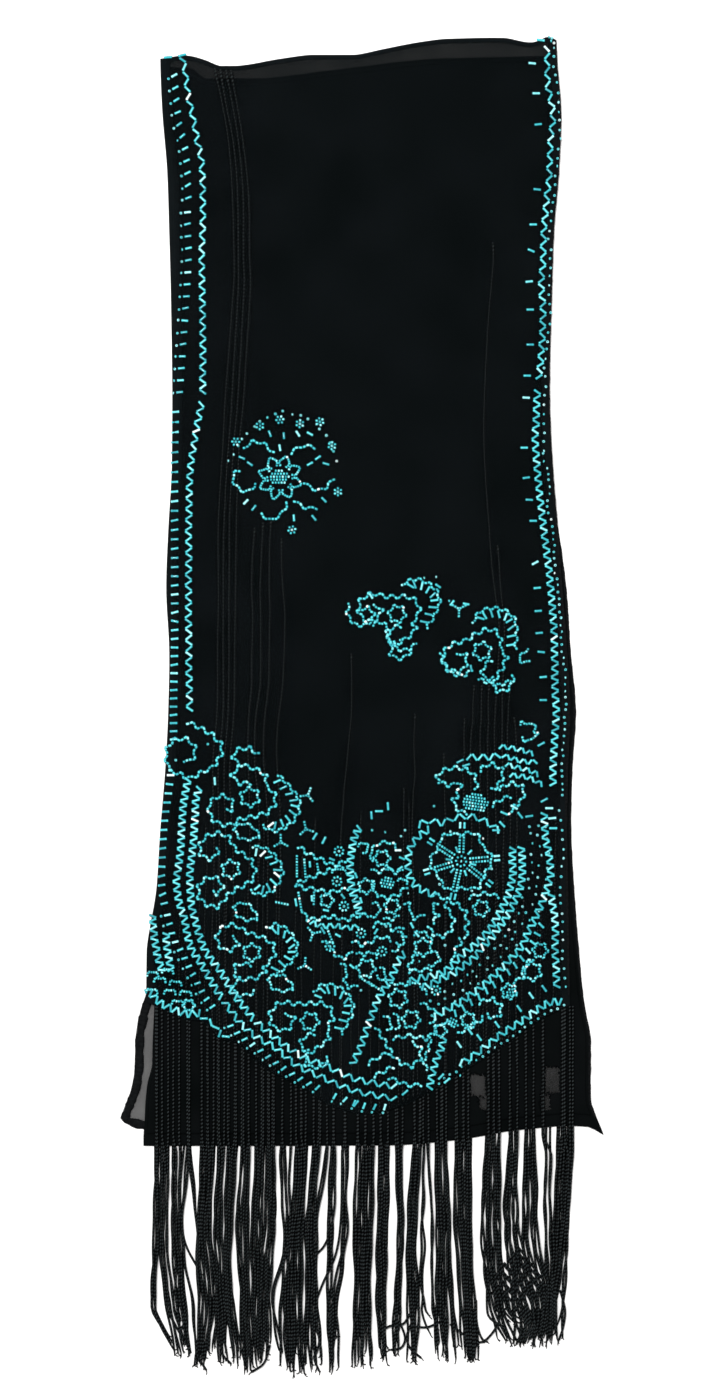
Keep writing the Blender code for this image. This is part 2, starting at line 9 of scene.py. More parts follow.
import bpy
import numpy as np
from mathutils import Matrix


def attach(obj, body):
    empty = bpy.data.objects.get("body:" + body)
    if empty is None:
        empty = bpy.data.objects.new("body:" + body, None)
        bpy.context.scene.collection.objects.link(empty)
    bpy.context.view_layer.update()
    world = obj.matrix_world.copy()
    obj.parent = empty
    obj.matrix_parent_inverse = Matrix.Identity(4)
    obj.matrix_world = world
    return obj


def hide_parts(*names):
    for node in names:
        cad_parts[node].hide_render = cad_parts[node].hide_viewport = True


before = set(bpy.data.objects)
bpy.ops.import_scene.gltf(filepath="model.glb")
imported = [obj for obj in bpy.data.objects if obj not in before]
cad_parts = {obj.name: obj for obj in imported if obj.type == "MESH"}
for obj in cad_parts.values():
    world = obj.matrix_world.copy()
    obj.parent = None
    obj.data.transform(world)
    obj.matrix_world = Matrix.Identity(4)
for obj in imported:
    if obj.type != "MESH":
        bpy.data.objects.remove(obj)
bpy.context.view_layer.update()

MM = 0.001
HALF_LENGTH = 499.55

# Cloth layers, as the frame has them
LAYER = 1.0
INNER_BASE = 1.3
FACE_BASE = 3.6
FACE_FLOOR = 0.3
FACE_LIFT = 1.9
LIFT_FROM = 660.0
LIFT_UNTIL = 690.0
FOLD_REACH = 3.0
CLOTH = 0.45
LOWEST = 0.02

# The bead work and the fringe are laid out in steps of 0.75 mm, counted from a corner beyond the upper left
STEP = 0.75
STEPS_LEFT = 362.0
STEPS_ABOVE = 36.0

# Lengths of the tubular beads in steps: bugles are 6.3 mm long, short tubes 3.2 mm and small ones 1.9 mm
BUGLE = 8.4
SHORT = 4.3
SMALL = 2.5

# Radii of the beads in millimetres
TUBE_RADIUS = 1.05
SHORT_RADIUS = 0.97 * TUBE_RADIUS
SEED_RADIUS = 1.06

# Side edges of the face: down, left, right
FACE_SIDES = np.array(
    [
        (0.0, -151.5, 146.0),
        (16.5, -151.5, 146.3),
        (55.5, -150.0, 149.3),
        (100.5, -146.3, 147.8),
        (145.5, -144.8, 144.0),
        (190.5, -143.6, 142.5),
        (280.5, -142.5, 141.0),
        (325.5, -142.9, 143.3),
        (370.5, -145.5, 147.0),
        (415.5, -147.0, 150.4),
        (460.5, -144.8, 153.8),
        (505.5, -145.5, 156.0),
        (550.5, -147.8, 154.5),
        (595.5, -151.5, 153.8),
        (640.5, -154.5, 154.5),
        (685.5, -161.6, 155.3),
        (727.0, -162.0, 156.0),
        (810.0, -162.0, 156.0),
    ]
)

# Top fold: across, down
FOLD_EDGE = np.array(
    [
        (-152.0, 16.5),
        (-129.0, 14.3),
        (-118.0, 17.3),
        (-106.5, 21.8),
        (-95.0, 21.8),
        (-61.5, 16.5),
        (-39.0, 13.5),
        (-5.0, 13.5),
        (17.0, 9.0),
        (40.0, 4.5),
        (62.0, 1.5),
        (107.0, 0.8),
        (130.0, 3.8),
        (141.0, 0.0),
        (147.0, 3.0),
    ]
)

# Pointed hem of the face: across, down
FACE_HEM = np.array(
    [
        (-162.0, 724.5),
        (-144.0, 731.0),
        (-129.0, 738.0),
        (-120.0, 739.0),
        (-105.0, 753.0),
        (-94.5, 755.0),
        (-75.0, 772.5),
        (-46.5, 788.0),
        (-20.0, 804.0),
        (5.0, 808.5),
        (32.0, 801.8),
        (64.5, 783.8),
        (103.5, 759.0),
        (135.8, 737.0),
        (156.0, 726.8),
    ]
)

# Side edges of the hidden layers: down, left, right
INNER_SIDES = np.array(
    [
        (0.0, -144.5, 140.0),
        (20.0, -144.5, 141.5),
        (55.5, -144.0, 144.5),
        (100.5, -140.3, 143.5),
        (145.5, -138.8, 140.0),
        (190.5, -137.6, 138.0),
        (280.5, -136.5, 136.5),
        (325.5, -136.9, 139.0),
        (370.5, -139.5, 147.5),
        (415.5, -141.0, 153.5),
        (460.5, -138.8, 156.5),
        (505.5, -139.5, 160.5),
        (550.5, -141.8, 157.8),
        (595.5, -145.5, 157.0),
        (640.5, -148.5, 159.3),
        (685.5, -155.0, 162.8),
        (727.0, -155.8, 167.0),
        (753.0, -157.0, 171.8),
        (772.0, -157.5, 171.8),
        (786.0, -161.0, 171.5),
        (800.0, -162.5, 172.0),
        (811.0, -163.0, 176.0),
        (825.0, -164.0, 181.5),
        (840.0, -164.0, 183.0),
    ]
)

# Upper and lower edges of the hidden layers: across, down
INNER_UPPER = np.array(
    [
        (-146.0, 23.0),
        (-128.0, 24.0),
        (-118.0, 31.5),
        (-77.0, 31.5),
        (-24.0, 25.5),
        (51.0, 17.0),
        (144.0, 14.5),
    ]
)
INNER_LOWER = np.array(
    [
        (-164.0, 832.5),
        (-84.0, 832.5),
        (28.0, 832.0),
        (58.0, 829.5),
        (82.5, 826.5),
        (106.5, 822.0),
        (133.5, 819.0),
        (156.0, 817.5),
        (170.0, 818.3),
        (181.5, 824.5),
    ]
)

# Side edges of the back layer: down, left, right
BACK_SIDES = np.array(
    [
        (0.0, -149.5, 144.0),
        (55.5, -148.0, 147.0),
        (100.5, -144.3, 145.5),
        (145.5, -142.8, 141.8),
        (190.5, -141.6, 140.2),
        (280.5, -140.5, 138.5),
        (370.5, -143.5, 145.0),
        (415.5, -145.0, 150.0),
        (460.5, -142.8, 153.0),
        (505.5, -143.5, 157.0),
        (550.5, -145.8, 154.5),
        (595.5, -149.5, 154.5),
        (640.5, -152.5, 156.5),
        (685.5, -159.3, 160.0),
        (714.0, -160.0, 163.0),
        (726.0, -165.0, 164.5),
        (753.0, -170.3, 168.5),
        (775.0, -170.8, 169.0),
        (790.0, -173.3, 169.0),
        (802.0, -177.8, 169.5),
        (813.0, -181.5, 172.0),
        (825.0, -181.5, 173.0),
    ]
)
BACK_LOWER = np.array(
    [
        (-181.5, 812.0),
        (-174.8, 817.0),
        (-164.0, 820.0),
        (-120.0, 822.0),
        (0.0, 820.0),
        (120.0, 812.0),
        (173.0, 811.0),
    ]
)
BACK_SHY_OF_FOLD = 2.5

# Worn places, holes in one hidden layer and threadbare in the next: across, down, width, height
WORN_PLACES = (
    (87.0, 787.0, 12.0, 16.5),
    (91.0, 800.5, 6.5, 11.0),
    (142.7, 783.0, 11.5, 19.5),
    (137.8, 799.5, 7.0, 12.5),
)

# Broad swells of the face where the cloth is slack: across, down, half width, half length, height
SWELLS = (
    (-20.0, 62.0, 95.0, 20.0, 0.9),
    (60.0, 48.0, 60.0, 14.0, 0.7),
    (20.0, 168.0, 32.0, 11.0, 0.9),
    (85.0, 276.0, 26.0, 14.0, 0.8),
    (-12.0, 384.0, 40.0, 12.0, 0.9),
    (62.0, 392.0, 22.0, 16.0, 0.7),
    (-60.0, 250.0, 22.0, 60.0, 0.6),
    (40.0, 520.0, 30.0, 40.0, 0.7),
    (-128.0, 420.0, 14.0, 70.0, 0.6),
    (120.0, 330.0, 16.0, 60.0, 0.7),
)

# Soft creases of the face: across and down of both ends, half width, height (below nought for a trough)
CREASES = (
    (-8.0, 164.0, 34.0, 172.0, 5.0, 0.45),
    (-6.0, 172.0, 30.0, 180.0, 6.0, -0.35),
    (-48.0, 386.0, 12.0, 380.0, 6.0, 0.4),
    (-40.0, 394.0, 16.0, 389.0, 6.0, -0.3),
    (30.0, 382.0, 27.0, 410.0, 5.0, 0.35),
    (86.0, 262.0, 92.0, 300.0, 7.0, 0.35),
    (-122.0, 40.0, 90.0, 34.0, 7.0, 0.3),
    (-60.0, 60.0, 110.0, 44.0, 9.0, -0.35),
    (-70.0, 120.0, -58.0, 330.0, 10.0, 0.3),
    (118.0, 90.0, 112.0, 260.0, 8.0, 0.3),
    (-20.0, 470.0, -30.0, 600.0, 12.0, 0.3),
    (64.0, 420.0, 70.0, 560.0, 9.0, -0.25),
    (20.0, 250.0, 6.0, 340.0, 11.0, -0.25),
    (-128.0, 300.0, -126.0, 420.0, 5.0, -0.25),
)

# Couched cords: name, then across and down at each turn of the line, from its top end
COUCHED_CORDS = {
    "left_1": [
        (-110.5, 24.5), (-104.7, 52), (-100, 81), (-97.3, 118), (-96.2, 164), (-96.5, 195),
        (-102, 270), (-104, 306), (-107.6, 362), (-107.6, 432), (-108.5, 506), (-112, 552),
        (-111, 620), (-113, 700), (-112, 744),
    ],
    "left_2": [
        (-106.2, 25.5), (-101.6, 52), (-96.2, 81), (-93.1, 118), (-92.5, 164), (-92.8, 195),
        (-97.4, 270), (-99.6, 306), (-103.3, 362), (-103.8, 432), (-104, 506), (-107.8, 552),
        (-106.5, 620), (-107.5, 700), (-106.5, 750),
    ],
    "left_3": [
        (-102.2, 26), (-97, 52), (-92.4, 81), (-89.3, 118), (-88.7, 164), (-88.2, 195),
        (-92.9, 270), (-95.9, 306), (-99.3, 362), (-99.6, 432), (-100.6, 506), (-103.6, 552),
        (-102, 620), (-102.5, 700), (-101.5, 751),
    ],
    "left_4": [
        (-98.2, 26), (-93.2, 52), (-88.6, 81), (-85, 118), (-84.3, 164), (-83.6, 195),
        (-88.3, 270), (-91.8, 306), (-94, 362), (-95.2, 432), (-96, 506), (-98.8, 552),
        (-96.5, 620), (-97, 700), (-96, 751),
    ],
    "left_5": [
        (-80.5, 369), (-82.5, 411), (-82, 437), (-82.8, 483), (-85.4, 529), (-84, 600), (-86, 680),
        (-85, 760),
    ],
    "left_6": [
        (-74, 365), (-76.4, 411), (-75.8, 437), (-76.5, 483), (-80.5, 529), (-77, 600), (-79, 680),
        (-78, 766),
    ],
    "left_7": [
        (-68.7, 362), (-69.4, 411), (-68.7, 437), (-70.1, 483), (-73.6, 529), (-70.5, 600),
        (-71, 680), (-70, 772),
    ],
    "left_8": [
        (-60.3, 377), (-59.5, 411), (-58, 437), (-59.3, 483), (-63.8, 529), (-61, 600), (-62, 680),
        (-60.5, 777),
    ],
    "middle_1": [
        (-8, 463), (-8, 505), (-10.7, 536), (-14, 575), (-15.6, 604), (-14.5, 680), (-15.5, 760),
        (-14.5, 802),
    ],
    "middle_2": [
        (39.6, 508), (38.8, 535), (39.5, 554), (38.2, 573), (37.6, 603), (39.5, 680), (38.5, 795),
    ],
    "middle_3": [
        (31.4, 564), (31.2, 600), (30.5, 660), (31, 730), (30.5, 799),
    ],
    "right_1": [
        (98.4, 155), (98.4, 170), (94.7, 210), (92.1, 262), (91.4, 302), (93.2, 340), (95.8, 376),
        (99.5, 413), (103, 447), (101, 490), (99.7, 529), (100.5, 600), (99.5, 680), (98.5, 760),
    ],
    "right_2": [
        (101.5, 382), (103.4, 410), (106.4, 445), (105.5, 487), (105.2, 525), (106, 600),
        (105, 680), (104, 756),
    ],
    "right_3": [
        (84.4, 487), (82.7, 511), (81.6, 529), (82, 600), (82.5, 680), (81, 771),
    ],
    "right_4": [
        (89.8, 487), (89.2, 511), (88.4, 529), (88.5, 600), (88.5, 680), (87, 767),
    ],
    "right_5": [
        (95.6, 487), (94.8, 511), (94.1, 529), (94.3, 600), (93.8, 680), (93, 763),
    ],
    "right_6": [
        (111.3, 487), (109.8, 511), (109, 529), (111, 600), (110.5, 680), (109.5, 752),
    ],
    "right_7": [
        (77, 512), (76.3, 530), (76, 600), (76.5, 680), (75.5, 774),
    ],
    "right_8": [
        (114.2, 511), (115.6, 530), (116, 600), (116, 680), (115, 749),
    ],
    "right_9": [
        (61.3, 538), (61.9, 585), (62.5, 680), (62, 783),
    ],
}

# How far down the fringe hangs two by two, and the three levels of its locks, in steps
PAIRED_UNTIL = 1136.0
LOCK_LEVELS = (1152.0, 1232.0, 1310.0)

# Locks of the fringe, in steps: strands, their span at each level, the shift and end of their tips, waviness
LOCKS = (
    (2, 155, 159, 152, 159, 150, 157, 15, 1358, 0.7),
    (3, 160, 169, 159, 168, 164, 176, 9, 1354, 0.8),
    (3, 171, 182, 171, 181, 176, 187, 5, 1352, 0.9),
    (1, 188, 188, 182, 182, 193, 193, 4, 1356, 1.0),
    (1, 190, 190, 197, 197, 199, 199, 0, 1350, 0.8),
    (6, 200, 215, 196, 212, 197, 218, -3, 1366, 0.8),
    (3, 217, 225, 213, 222, 219, 227, 2, 1362, 0.9),
    (4, 227, 237, 223, 232, 226, 233, 5, 1364, 0.8),
    (4, 241, 250, 236, 249, 241, 250, 2, 1370, 0.7),
    (4, 254, 264, 250, 263, 250, 261, 2, 1364, 0.8),
    (4, 267, 275, 263, 277, 259, 269, 2, 1358, 1.0),
    (2, 279, 286, 283, 290, 279, 286, 4, 1366, 1.0),
    (1, 290, 290, 288, 288, 274, 274, 6, 1350, 1.2),
    (5, 295, 307, 290, 305, 286, 303, 2, 1374, 0.8),
    (4, 312, 321, 305, 315, 304, 317, 1, 1368, 0.9),
    (1, 327, 327, 316, 316, 317, 317, 2, 1364, 1.0),
    (2, 330, 336, 327, 334, 326, 334, 2, 1372, 1.2),
    (2, 342, 347, 341, 347, 331, 339, 0, 1368, 1.2),
    (6, 355, 375, 353, 373, 353, 371, 0, 1366, 0.7),
    (4, 379, 389, 377, 388, 377, 386, 2, 1362, 0.8),
    (3, 395, 403, 397, 402, 395, 401, -1, 1356, 0.9),
    (4, 412, 422, 406, 417, 409, 419, -2, 1362, 0.8),
    (1, 424, 424, 422, 422, 424, 424, 8, 1334, 1.5),
    (1, 428, 428, 432, 432, 433, 433, 3, 1350, 0.7),
    (5, 435, 447, 436, 451, 435, 454, 2, 1360, 0.8),
    (6, 454, 472, 455, 472, 461, 476, 2, 1360, 0.7),
    (6, 485, 500, 481, 501, 489, 511, 12, 1344, 1.3),
    (4, 508, 518, 504, 520, 512, 536, 4, 1346, 1.4),
    (4, 523, 536, 521, 541, 530, 550, -3, 1344, 1.2),
    (2, 545, 552, 543, 552, 546, 556, -2, 1340, 1.0),
    (5, 557, 571, 553, 566, 549, 557, 0, 1340, 0.9),
    (1, 573, 573, 567, 567, 563, 563, -2, 1344, 0.9),
)

# The fringe's cords in millimetres: radii, and how high they lie over the cloth and past its foot
FRONT_RADIUS = 1.07
BACK_RADIUS = 0.97
STRAY_RADIUS = 0.95
PLY_RADIUS = 0.62
OVER_CLOTH = 4.4
PAST_CLOTH = 3.0
CLOTH_FOOT = (833.0, 848.0)
BACK_HEIGHT = 1.05
STRAY_HEIGHT = 2.4

# Radii of the couched cords in millimetres, first at the knot by their upper end
COUCHED_KNOT = (0.9, 1.35, 1.15)
COUCHED_RADIUS = 0.72
PANEL_KNOT = (0.3, 0.85)
PANEL_RADIUS = 0.5

# Single strands that stray or curl at the foot of the fringe, in steps
STRAYS = (
    ((184, 1146), (180, 1190), (182, 1227), (187, 1248), (200, 1272)),
    ((329, 1200), (329, 1232), (324, 1246), (317, 1254)),
    ((342, 1150), (341, 1215), (336, 1253), (323, 1283), (317, 1299)),
    ((173, 1290), (182, 1310), (184, 1322), (180, 1334), (188, 1347), (189, 1356)),
    ((312, 1320), (319, 1338), (317, 1351), (314, 1358), (319, 1371)),
    ((196, 1340), (198, 1356), (206, 1370)),
    ((219, 1340), (223, 1355), (231, 1364)),
    ((270, 1345), (264, 1363), (252, 1372)),
    ((378, 1333), (390, 1326), (403, 1324), (410, 1314)),
    ((400, 1322), (405, 1338), (401, 1348), (391, 1350)),
    ((411, 1324), (407, 1336), (410, 1348), (421, 1358)),
    ((416, 1327), (428, 1327), (440, 1322)),
    ((476, 1300), (477, 1324), (483, 1340), (490, 1336), (498, 1325)),
    ((450, 1324), (463, 1334), (474, 1342), (485, 1342)),
    ((487, 1280), (487, 1308), (490, 1318), (501, 1326)),
    ((490, 1292), (498, 1299), (499, 1324)),
    ((560, 1290), (565, 1310), (563, 1328), (559, 1340)),
)

# The first and the last of a bundle of cords that lie aslant at the lower right, in steps
SLANTED = (
    ((519, 1248), (534, 1268), (544, 1282), (548, 1296), (548, 1314), (545, 1334)),
    ((490, 1276), (504, 1291), (514, 1304), (520, 1316), (522, 1330), (517, 1344)),
)


def smooth(table, at, column=1):
    """Values of a table's column at 'at', on a curve that eases from row to row."""
    places = table[:, 0]
    values = table[:, column]
    slopes = np.gradient(values, places)
    at = np.clip(np.asarray(at, float), places[0], places[-1])
    i = np.clip(np.searchsorted(places, at) - 1, 0, len(places) - 2)
    span = places[i + 1] - places[i]
    t = (at - places[i]) / span
    rise = values[i + 1] - values[i]
    limit = 1.5 * np.abs(rise)
    start = np.clip(slopes[i] * span, -limit, limit)
    end = np.clip(slopes[i + 1] * span, -limit, limit)
    bend = t * t * (3 - 2 * t)
    return values[i] + bend * rise + start * t * (1 - t) ** 2 - end * t * t * (1 - t)


def ease(value, start, end):
    """0 before start, 1 after end, and an S curve between."""
    t = np.clip((np.asarray(value, float) - start) / (end - start), 0.0, 1.0)
    return t * t * (3 - 2 * t)


def quarter_round(inset, reach):
    """Share of the full height at 'inset' from an edge that is rounded over 'reach'."""
    t = np.clip(np.asarray(inset, float) / reach, 0.0, 1.0)
    return np.sqrt(1 - (1 - t) ** 2)


def points_at(across, down, height):
    """Places on the stole in Blender's metres, with a last axis of three."""
    across, down, height = np.broadcast_arrays(across, down, height)
    return np.stack([across * MM, (HALF_LENGTH - down) * MM, height * MM], axis=-1)


def swell(across, down):
    """Height of the slack cloth above its flat lie: the sum of round hills."""
    total = np.zeros(np.broadcast(across, down).shape)
    for centre, level, half_width, half_length, height in SWELLS:
        far = ((across - centre) / half_width) ** 2 + ((down - level) / half_length) ** 2
        total = total + height * np.exp(-2 * far)
    return total


def creasing(across, down):
    """Height of the soft creases: a bell curve of the distance from each bowed line, weaker at its ends."""
    total = np.zeros(np.broadcast(across, down).shape)
    for x0, y0, x1, y1, half_width, height in CREASES:
        run = np.array([x1 - x0, y1 - y0])
        length = np.hypot(*run)
        share = ((across - x0) * run[0] + (down - y0) * run[1]) / length**2
        beside = ((down - y0) * run[0] - (across - x0) * run[1]) / length
        bow = beside - 0.05 * length * np.sin(math.pi * np.clip(share, 0, 1))
        fade = ease(share, -0.1, 0.3) * (1 - ease(share, 0.7, 1.1))
        total = total + height * fade * np.exp(-2 * (bow / half_width) ** 2)
    return total


def face_top(across, down):
    """Upper side of the face: full height over the hidden layers, lower by the top fold, round at folds."""
    from_left = across - smooth(FACE_SIDES, down, 1)
    from_fold = down - smooth(FOLD_EDGE, across)
    past_inner = down - smooth(INNER_UPPER, across)
    low = INNER_BASE + (FACE_BASE - INNER_BASE) * ease(past_inner, -7.0, -1.0) + LAYER
    reach = FOLD_REACH + LAYER
    rounding = np.minimum(quarter_round(from_left, reach), quarter_round(from_fold, reach))
    floor = FACE_FLOOR + (FACE_LIFT - FACE_FLOOR) * ease(down, LIFT_FROM, LIFT_UNTIL)
    settled = ease(np.minimum(from_left - 1.0, from_fold - 13.0), 4.0, 18.0)
    slack = swell(across, down) + creasing(across, down)
    return floor + (low - floor) * rounding + slack * settled


def lie(sides, upper, lower, shares_across, shares_down):
    """Grid between a piece's four edges: across and down for each row and column."""
    u, v = np.meshgrid(shares_across, shares_down)
    across = np.zeros(u.shape)
    down = 20.0 + 800.0 * v
    for _ in range(8):
        left = smooth(sides, down, 1)
        right = smooth(sides, down, 2)
        across = left + u * (right - left)
        top = smooth(upper, across)
        down = top + v * (smooth(lower, across) - top)
    return across, down


def make_piece(name, points, quads, material, shade_smooth=True):
    """An object of four-sided faces at the origin, riding on the part's one body."""
    mesh = bpy.data.meshes.new(name)
    mesh.vertices.add(len(points))
    mesh.vertices.foreach_set("co", np.asarray(points, np.float32).ravel())
    mesh.loops.add(quads.size)
    mesh.loops.foreach_set("vertex_index", quads.astype(np.int32).ravel())
    mesh.polygons.add(len(quads))
    mesh.polygons.foreach_set("loop_start", np.arange(0, quads.size, 4, dtype=np.int32))
    mesh.polygons.foreach_set("use_smooth", np.full(len(quads), shade_smooth))
    mesh.update()
    mesh.validate()
    mesh.materials.append(material)
    made = bpy.data.objects.new(name, mesh)
    bpy.context.scene.collection.objects.link(made)
    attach(made, "root")
    return made


def shell(name, across, down, top, material, keep=None):
    """A cloth of even thickness: its upper side over a grid, its lower side set back along the grid's
    normals but never below the surface it lies on, and a wall along each border of the kept cells."""
    rows, columns = across.shape
    if keep is None:
        keep = np.ones((rows - 1, columns - 1), bool)
    upper = points_at(across, down, top)
    along_row = np.gradient(upper, axis=1)
    along_column = np.gradient(upper, axis=0)
    normal = np.cross(along_column, along_row)
    normal /= np.linalg.norm(normal, axis=-1, keepdims=True)
    under = upper - normal * CLOTH * MM
    under[..., 2] = np.maximum(under[..., 2], LOWEST * MM)
    number = np.arange(rows * columns).reshape(rows, columns)
    corners = [number[:-1, :-1], number[1:, :-1], number[1:, 1:], number[:-1, 1:]]
    cells = np.stack(corners, axis=-1)
    beyond = np.pad(keep, 1)
    beside = [beyond[1:-1, :-2], beyond[2:, 1:-1], beyond[1:-1, 2:], beyond[:-2, 1:-1]]
    count = rows * columns
    quads = [cells[keep], cells[keep][:, ::-1] + count]
    for k in range(4):
        open_side = keep & ~beside[k]
        start = cells[..., k][open_side]
        end = cells[..., (k + 1) % 4][open_side]
        quads.append(np.stack([end, start, start + count, end + count], axis=-1))
    quads = np.concatenate(quads)
    points = np.concatenate([upper.reshape(-1, 3), under.reshape(-1, 3)])
    used, quads = np.unique(quads, return_inverse=True)
    return make_piece(name, points[used], quads.reshape(-1, 4), material)


def cap(sides):
    """Closes a ring of an even number of points with four-sided faces."""
    return [(0, k, k + 1, k + 2) for k in range(1, sides - 2, 2)]


def tubes(name, lines, radii, sides, material, flatness=1.0):
    """Closed tubes: a ring of points round each stop of each line, in the plane across the line, and caps.

    lines is (tube, stop, xyz) in metres and radii (tube, stop) in millimetres. The map runs once round a
    tube in u, and in v by one for each millimetre along it."""
    count, stops, _ = lines.shape
    ahead = np.gradient(lines, axis=1)
    ahead /= np.linalg.norm(ahead, axis=-1, keepdims=True)
    beside = np.cross(ahead, (0.0, 0.0, 1.0))
    beside /= np.maximum(np.linalg.norm(beside, axis=-1, keepdims=True), 1e-6)
    over = np.cross(beside, ahead)
    turn = 2 * math.pi * (np.arange(sides) + 0.5) / sides
    spoke = np.cos(turn)[:, None] * beside[:, :, None] + flatness * np.sin(turn)[:, None] * over[:, :, None]
    points = lines[:, :, None] + radii[:, :, None, None] * MM * spoke
    number = np.arange(count * stops * sides).reshape(count, stops, sides)
    onward = np.roll(number, -1, axis=2)
    walls = np.stack([number[:, :-1], number[:, 1:], onward[:, 1:], onward[:, :-1]], axis=-1)
    closing = np.array(cap(sides))
    first = number[:, 0][:, closing]
    last = number[:, -1][:, closing][..., ::-1]
    quads = np.concatenate([walls.reshape(-1, 4), first.reshape(-1, 4), last.reshape(-1, 4)])
    made = make_piece(name, points.reshape(-1, 3), quads, material)
    run = np.linalg.norm(np.diff(lines, axis=1), axis=-1) / MM
    far = np.concatenate([np.zeros((count, 1)), np.cumsum(run, axis=1)], axis=1)
    k = np.arange(sides)
    u = np.broadcast_to(np.stack([k, k, k + 1, k + 1], axis=-1) / sides, (count, stops - 1, sides, 4))
    v = np.stack([far[:, :-1], far[:, 1:], far[:, 1:], far[:, :-1]], axis=-1)
    v = np.broadcast_to(v[:, :, None, :], u.shape)
    whole = np.zeros((len(quads), 4, 2))
    whole[: walls.size // 4] = np.stack([u, v], axis=-1).reshape(-1, 4, 2)
    layer = made.data.uv_layers.new(name="round_and_along")
    layer.data.foreach_set("uv", whole.astype(np.float32).ravel())
    return made


def outward(points, quads):
    """The same faces, turned so that the closed surface has them facing outward."""
    a, b, c, d = (points[quads[:, k]] for k in range(4))
    volume = np.einsum("ij,ij->", a + b + c + d, np.cross(c - a, d - b))
    return quads if volume > 0 else quads[:, ::-1]


def curve(turns, closed=False):
    """A round line through the turns, with ten points to each stretch."""
    turns = np.asarray(turns, float)
    if closed:
        around = np.concatenate([turns[-1:], turns, turns[:2]])
    else:
        around = np.concatenate([2 * turns[:1] - turns[1:2], turns, 2 * turns[-1:] - turns[-2:-1]])
    t = np.linspace(0, 1, 10, endpoint=False)[:, None]
    line = []
    for p0, p1, p2, p3 in zip(around, around[1:], around[2:], around[3:]):
        line.append(
            p1 + 0.5 * t * (p2 - p0 + t * (2 * p0 - 5 * p1 + 4 * p2 - p3 + t * (3 * (p1 - p2) + p3 - p0)))
        )
    return np.concatenate(line + [around[-2:-1]])


def distances(path):
    """How far along a path each of its points is."""
    return np.concatenate([[0.0], np.cumsum(np.hypot(*np.diff(path, axis=0).T))])


def along(path, at):
    """Places on a path at distances along it, and its direction there as an angle."""
    far = distances(path)
    place = np.stack([np.interp(at, far, path[:, k]) for k in range(2)], axis=-1)
    ahead = np.stack([np.interp(at + 0.8, far, path[:, k]) for k in range(2)], axis=-1)
    behind = np.stack([np.interp(at - 0.8, far, path[:, k]) for k in range(2)], axis=-1)
    run = ahead - behind
    return place, np.arctan2(run[:, 1], run[:, 0])


def sideways(turn):
    """Unit steps to the side of a direction, one row each."""
    return np.stack([-np.sin(turn), np.cos(turn)], axis=-1)


def spaced(path, first, last):
    """Distances along a path whose spacing changes evenly from first to last."""
    length = distances(path)[-1]
    at = [0.0]
    while at[-1] < length:
        at.append(at[-1] + first + (last - first) * at[-1] / length)
    return np.array(at[:-1])


# Bead shapes: rings along the bead (inset from its end in mm, radius as a share)
TUBE_RINGS = ((0.0, 0.6), (0.4, 1.0), (1.6, 1.0))
SHORT_RINGS = ((0.0, 0.6), (0.4, 1.0))

# Painted highlight and shade of a tubular bead at an inset from its end in mm: painted dark at the hole,
# painted lightest on the shoulder
PAINTED_SHOULDER_LIGHT = ((0.0, 0.4, 1.6), (0.0, 1.0, 0.62))


def bead_shape(rings, sides):
    """A turned bead along x: points as (end, inset, y, z) and its faces. Ends are -1 and 1."""
    profile = [(-1.0, inset, share) for inset, share in rings]
    profile += [(1.0, inset, share) for inset, share in reversed(rings)]
    turn = 2 * math.pi * np.arange(sides) / sides
    points = np.array([(e, i, s * math.cos(a), s * math.sin(a)) for e, i, s in profile for a in turn])
    number = np.arange(len(points)).reshape(len(profile), sides)
    onward = np.roll(number, -1, axis=1)
    walls = np.stack([number[:-1], onward[:-1], onward[1:], number[1:]], axis=-1).reshape(-1, 4)
    closing = np.array(cap(sides))
    quads = np.concatenate([walls, number[0][closing][:, ::-1], number[-1][closing]])
    return points, outward(points[:, [0, 2, 3]], quads)


def seed_shape(sides):
    """A seed bead round z with its hole open: a small ring of four points carried round a circle."""
    turn = 2 * math.pi * np.arange(sides) / sides
    section = ((0.24, 0.0), (0.62, 0.66), (1.0, 0.0), (0.62, -0.66))
    points = np.array([(r * math.cos(a), r * math.sin(a), z) for r, z in section for a in turn])
    number = np.arange(len(points)).reshape(len(section), sides)
    onward = np.roll(number, -1, axis=1)
    up = np.roll(number, -1, axis=0)
    both = np.roll(onward, -1, axis=0)
    quads = np.stack([number, up, both, onward], axis=-1).reshape(-1, 4)
    return points, outward(points, quads)


